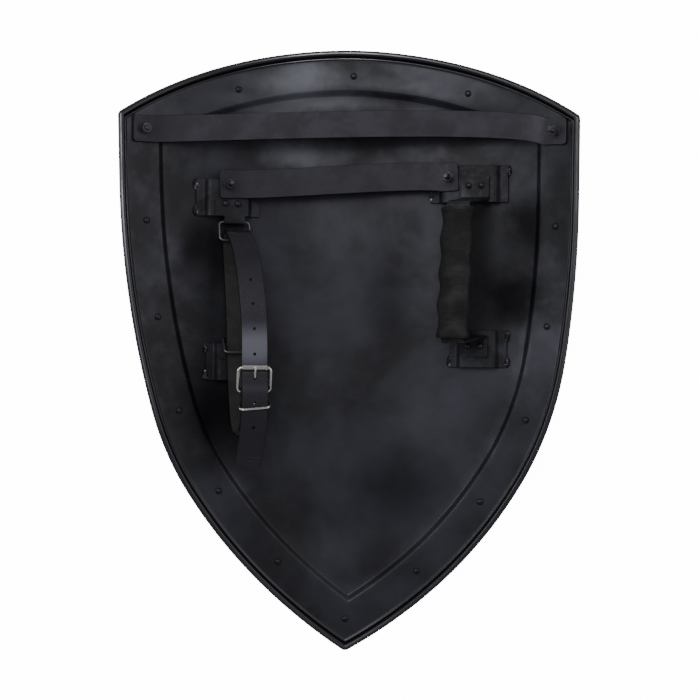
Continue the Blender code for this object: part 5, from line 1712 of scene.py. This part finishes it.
def sleeve_shape(shape):
    """The hide sleeve: a squarish oval in section, waved for the fingers, open at both ends."""
    leather = settings().leather
    (top_y, top_lean), (low_y, low_lean) = GRIP_TOPS["upper"], GRIP_TOPS["lower"]
    sides, steps = 56, 110
    rings = []

    def ring_at(share, widths, pinch=0.0):
        y = SLEEVE_ENDS[0] + (SLEEVE_ENDS[1] - SLEEVE_ENDS[0]) * share
        lean = top_lean + (low_lean - top_lean) * (y - top_y) / (low_y - top_y)
        ring = []
        for i in range(sides):
            a = 2 * math.pi * i / sides
            x = math.copysign(abs(math.cos(a)) ** 0.7, math.cos(a))
            z = math.copysign(abs(math.sin(a)) ** 0.7, math.sin(a))
            lump = 0.00035 * noise.noise(Vector((x * 1.3, share * 9.0, z * 1.3)))
            lump += 0.00022 * noise.noise(Vector((x * 3.1, share * 31.0, z * 3.1)))
            reach = 1 + (lump - pinch) / 0.012
            ring.append(shape.verts.new(grip_point(y, lean, widths[0] * x * reach, widths[1] * z * reach)))
        return ring

    half, deep = leather.sleeve_width / 2, leather.sleeve_thick / 2
    for i in range(steps + 1):
        share = i / steps
        wave = leather.sleeve_wave * (math.cos(2 * math.pi * SLEEVE_WAVES * share) - 1)
        lip = 0.0016 * max(0.0, 1 - min(share, 1 - share) * 60) ** 2
        rings.append(ring_at(share, (half + wave, deep + wave), lip))
    for share, inset in ((0.998, 0.0030), (0.985, 0.0042)):
        rings.append(ring_at(share, (half - inset, deep - inset)))
    rings += [ring_at(0.97, SLEEVE_BORE), ring_at(0.03, SLEEVE_BORE)]
    for share, inset in ((0.015, 0.0042), (0.002, 0.0030)):
        rings.append(ring_at(share, (half - inset, deep - inset)))
    join_rings(shape, rings, cyclic=True)


class SHIELD_OT_grip(bpy.types.Operator):
    """Build the grip's strip and the hide sleeve on it"""
    bl_idname = "shield.grip"
    bl_label = "Grip"

    def execute(self, context):
        shape = bmesh.new()
        ribbon(shape, grip_strip(), settings().hardware.bracket_thick, 0.0004, wide_steps=2,
               finishes=(0, 0, 0))
        strip = new_piece("grip_strip", shape, [bracket_steel()])
        shade(strip, 40)
        dress(strip, "hardware_steel", "grip_core")
        shape = bmesh.new()
        sleeve_shape(shape)
        sleeve = new_piece("grip_sleeve", shape, [grip_hide()])
        shade(sleeve, 60)
        dress(sleeve, "grip_leather", "grip_leather")
        return {"FINISHED"}


class SHIELD_OT_small_rivets(bpy.types.Operator):
    """Set the rivets of the tabs, the grip and the belt's end"""
    bl_idname = "shield.small_rivets"
    bl_label = "Small rivets"

    def execute(self, context):
        hardware = settings().hardware
        look = hardware_steel()
        tabs, grips = {}, {}
        for level in TABS:
            for i, place in enumerate(tab_rivets(level)):
                tabs[f"tab_rivet_{level}_{i + 1}"] = place
        for level, (bracket, _, _, y) in GRIP_FEET.items():
            for i, side in enumerate((-1, 1)):
                place = bridge_place(bracket, GRIP_U + side * GRIP_RIVET_APART / 2, y)
                grips[f"grip_rivet_{level}_{i + 1}"] = place
        rows = (("tab_rivets", tabs, hardware.tab_thick, TAB_RIVET),
                ("grip_rivets", grips, hardware.bracket_thick, GRIP_RIVET))
        for name, places, thick, (near, far, shank) in rows:
            top, low = CONTACT + thick, -hardware.bracket_thick
            rivet = rivet_shape(name + "_one", (top - low) / 2 + CONTACT, (SMALL_HEAD, near),
                                (SMALL_HEAD, far), shank, look, 0.15)
            middle = Matrix.Translation((0, 0, (top + low) / 2))
            spots = [place @ middle for place in places.values()]
            dress(set_fasteners(name, rivet, spots, look, spread=6.0, seed=7), "hardware_steel", *places)
        y, low, high = CHAPE_RIVET
        near, far, shank = CHAPE_RIVET_SHAPE
        nickel = nickel_wire()
        rivet = rivet_shape("chape_one", (high - low) / 2 + CONTACT, (CHAPE_HEAD, near), (CHAPE_HEAD, far),
                            shank, nickel, 0.3)
        place = frame_at(BUCKLE_U, y, field_height((low + high) / 2))
        dress(set_fasteners("chape_rivet_head", rivet, [place], nickel), "nickel", "chape_rivet")
        return {"FINISHED"}


def area_light(name, place, size, power, tint):
    """A soft light that is aimed at the middle of the shield."""
    light = bpy.data.lights.new(name, "AREA")
    light.shape = "RECTANGLE"
    light.size, light.size_y = size
    light.energy = power
    light.color = tint
    lamp = bpy.data.objects.new(name, light)
    lamp.location = place
    lamp.rotation_euler = (Vector(LIT_POINT) - Vector(place)).to_track_quat("-Z", "Y").to_euler()
    bpy.context.collection.objects.link(lamp)


class SHIELD_OT_stage(bpy.types.Operator):
    """Lay the floor and set the lights and the camera"""
    bl_idname = "shield.stage"
    bl_label = "Stage"

    def execute(self, context):
        shape = bmesh.new()
        bmesh.ops.create_grid(shape, x_segments=1, y_segments=1, size=6.0)
        floor = new_piece("floor", shape, [lit_floor()], False)
        floor.data.transform(Matrix.Translation((0, 0, -FLOOR_DROP)))

        world = context.scene.world or bpy.data.worlds.new("studio")
        context.scene.world = world
        world.use_nodes = True
        sky = world.node_tree.nodes["Background"]
        sky.inputs["Color"].default_value = STUDIO_COLOUR
        sky.inputs["Strength"].default_value = STUDIO_STRENGTH
        for light in LIGHTS:
            area_light(*light)

        lens = bpy.data.cameras.new("camera")
        lens.sensor_width = 36.0
        lens.lens = 18.0 / math.tan(math.radians(CAMERA_VIEW) / 2)
        camera = bpy.data.objects.new("camera", lens)
        camera.location = CAMERA_PLACE
        camera.rotation_euler = (0, 0, math.radians(CAMERA_ROLL))
        context.collection.objects.link(camera)
        context.scene.camera = camera
        return {"FINISHED"}


OPERATORS = (SHIELD_OT_stage, SHIELD_OT_plate, SHIELD_OT_rim_rivets, SHIELD_OT_brackets, SHIELD_OT_straps,
             SHIELD_OT_strap_screws, SHIELD_OT_ring_tabs, SHIELD_OT_wire_rings, SHIELD_OT_arm_belt,
             SHIELD_OT_buckle, SHIELD_OT_grip, SHIELD_OT_small_rivets)


class SHIELD_PT_panel(bpy.types.Panel):
    """Lists the shield's pieces"""
    bl_idname = "SHIELD_PT_panel"
    bl_label = "Heater Shield"
    bl_space_type = "VIEW_3D"
    bl_region_type = "UI"
    bl_category = "Shield"

    def draw(self, context):
        for operator in OPERATORS:
            self.layout.operator(operator.bl_idname)
        for group in ("plate", "leather", "hardware", "colours"):
            box = self.layout.box()
            values = getattr(settings(), group)
            for key in values.__annotations__:
                box.prop(values, key)


CLASSES = (PlateSettings, LeatherSettings, HardwareSettings, ColourSettings, ShieldSettings, *OPERATORS,
           SHIELD_PT_panel)


def register():
    for made in CLASSES:
        bpy.utils.register_class(made)
    bpy.types.Scene.heater_shield = PointerProperty(type=ShieldSettings)


def unregister():
    del bpy.types.Scene.heater_shield
    for made in reversed(CLASSES):
        bpy.utils.unregister_class(made)


def main():
    register()
    for operator in OPERATORS:
        space, name = operator.bl_idname.split(".")
        getattr(getattr(bpy.ops, space), name)()


if __name__ == "__main__":
    main()
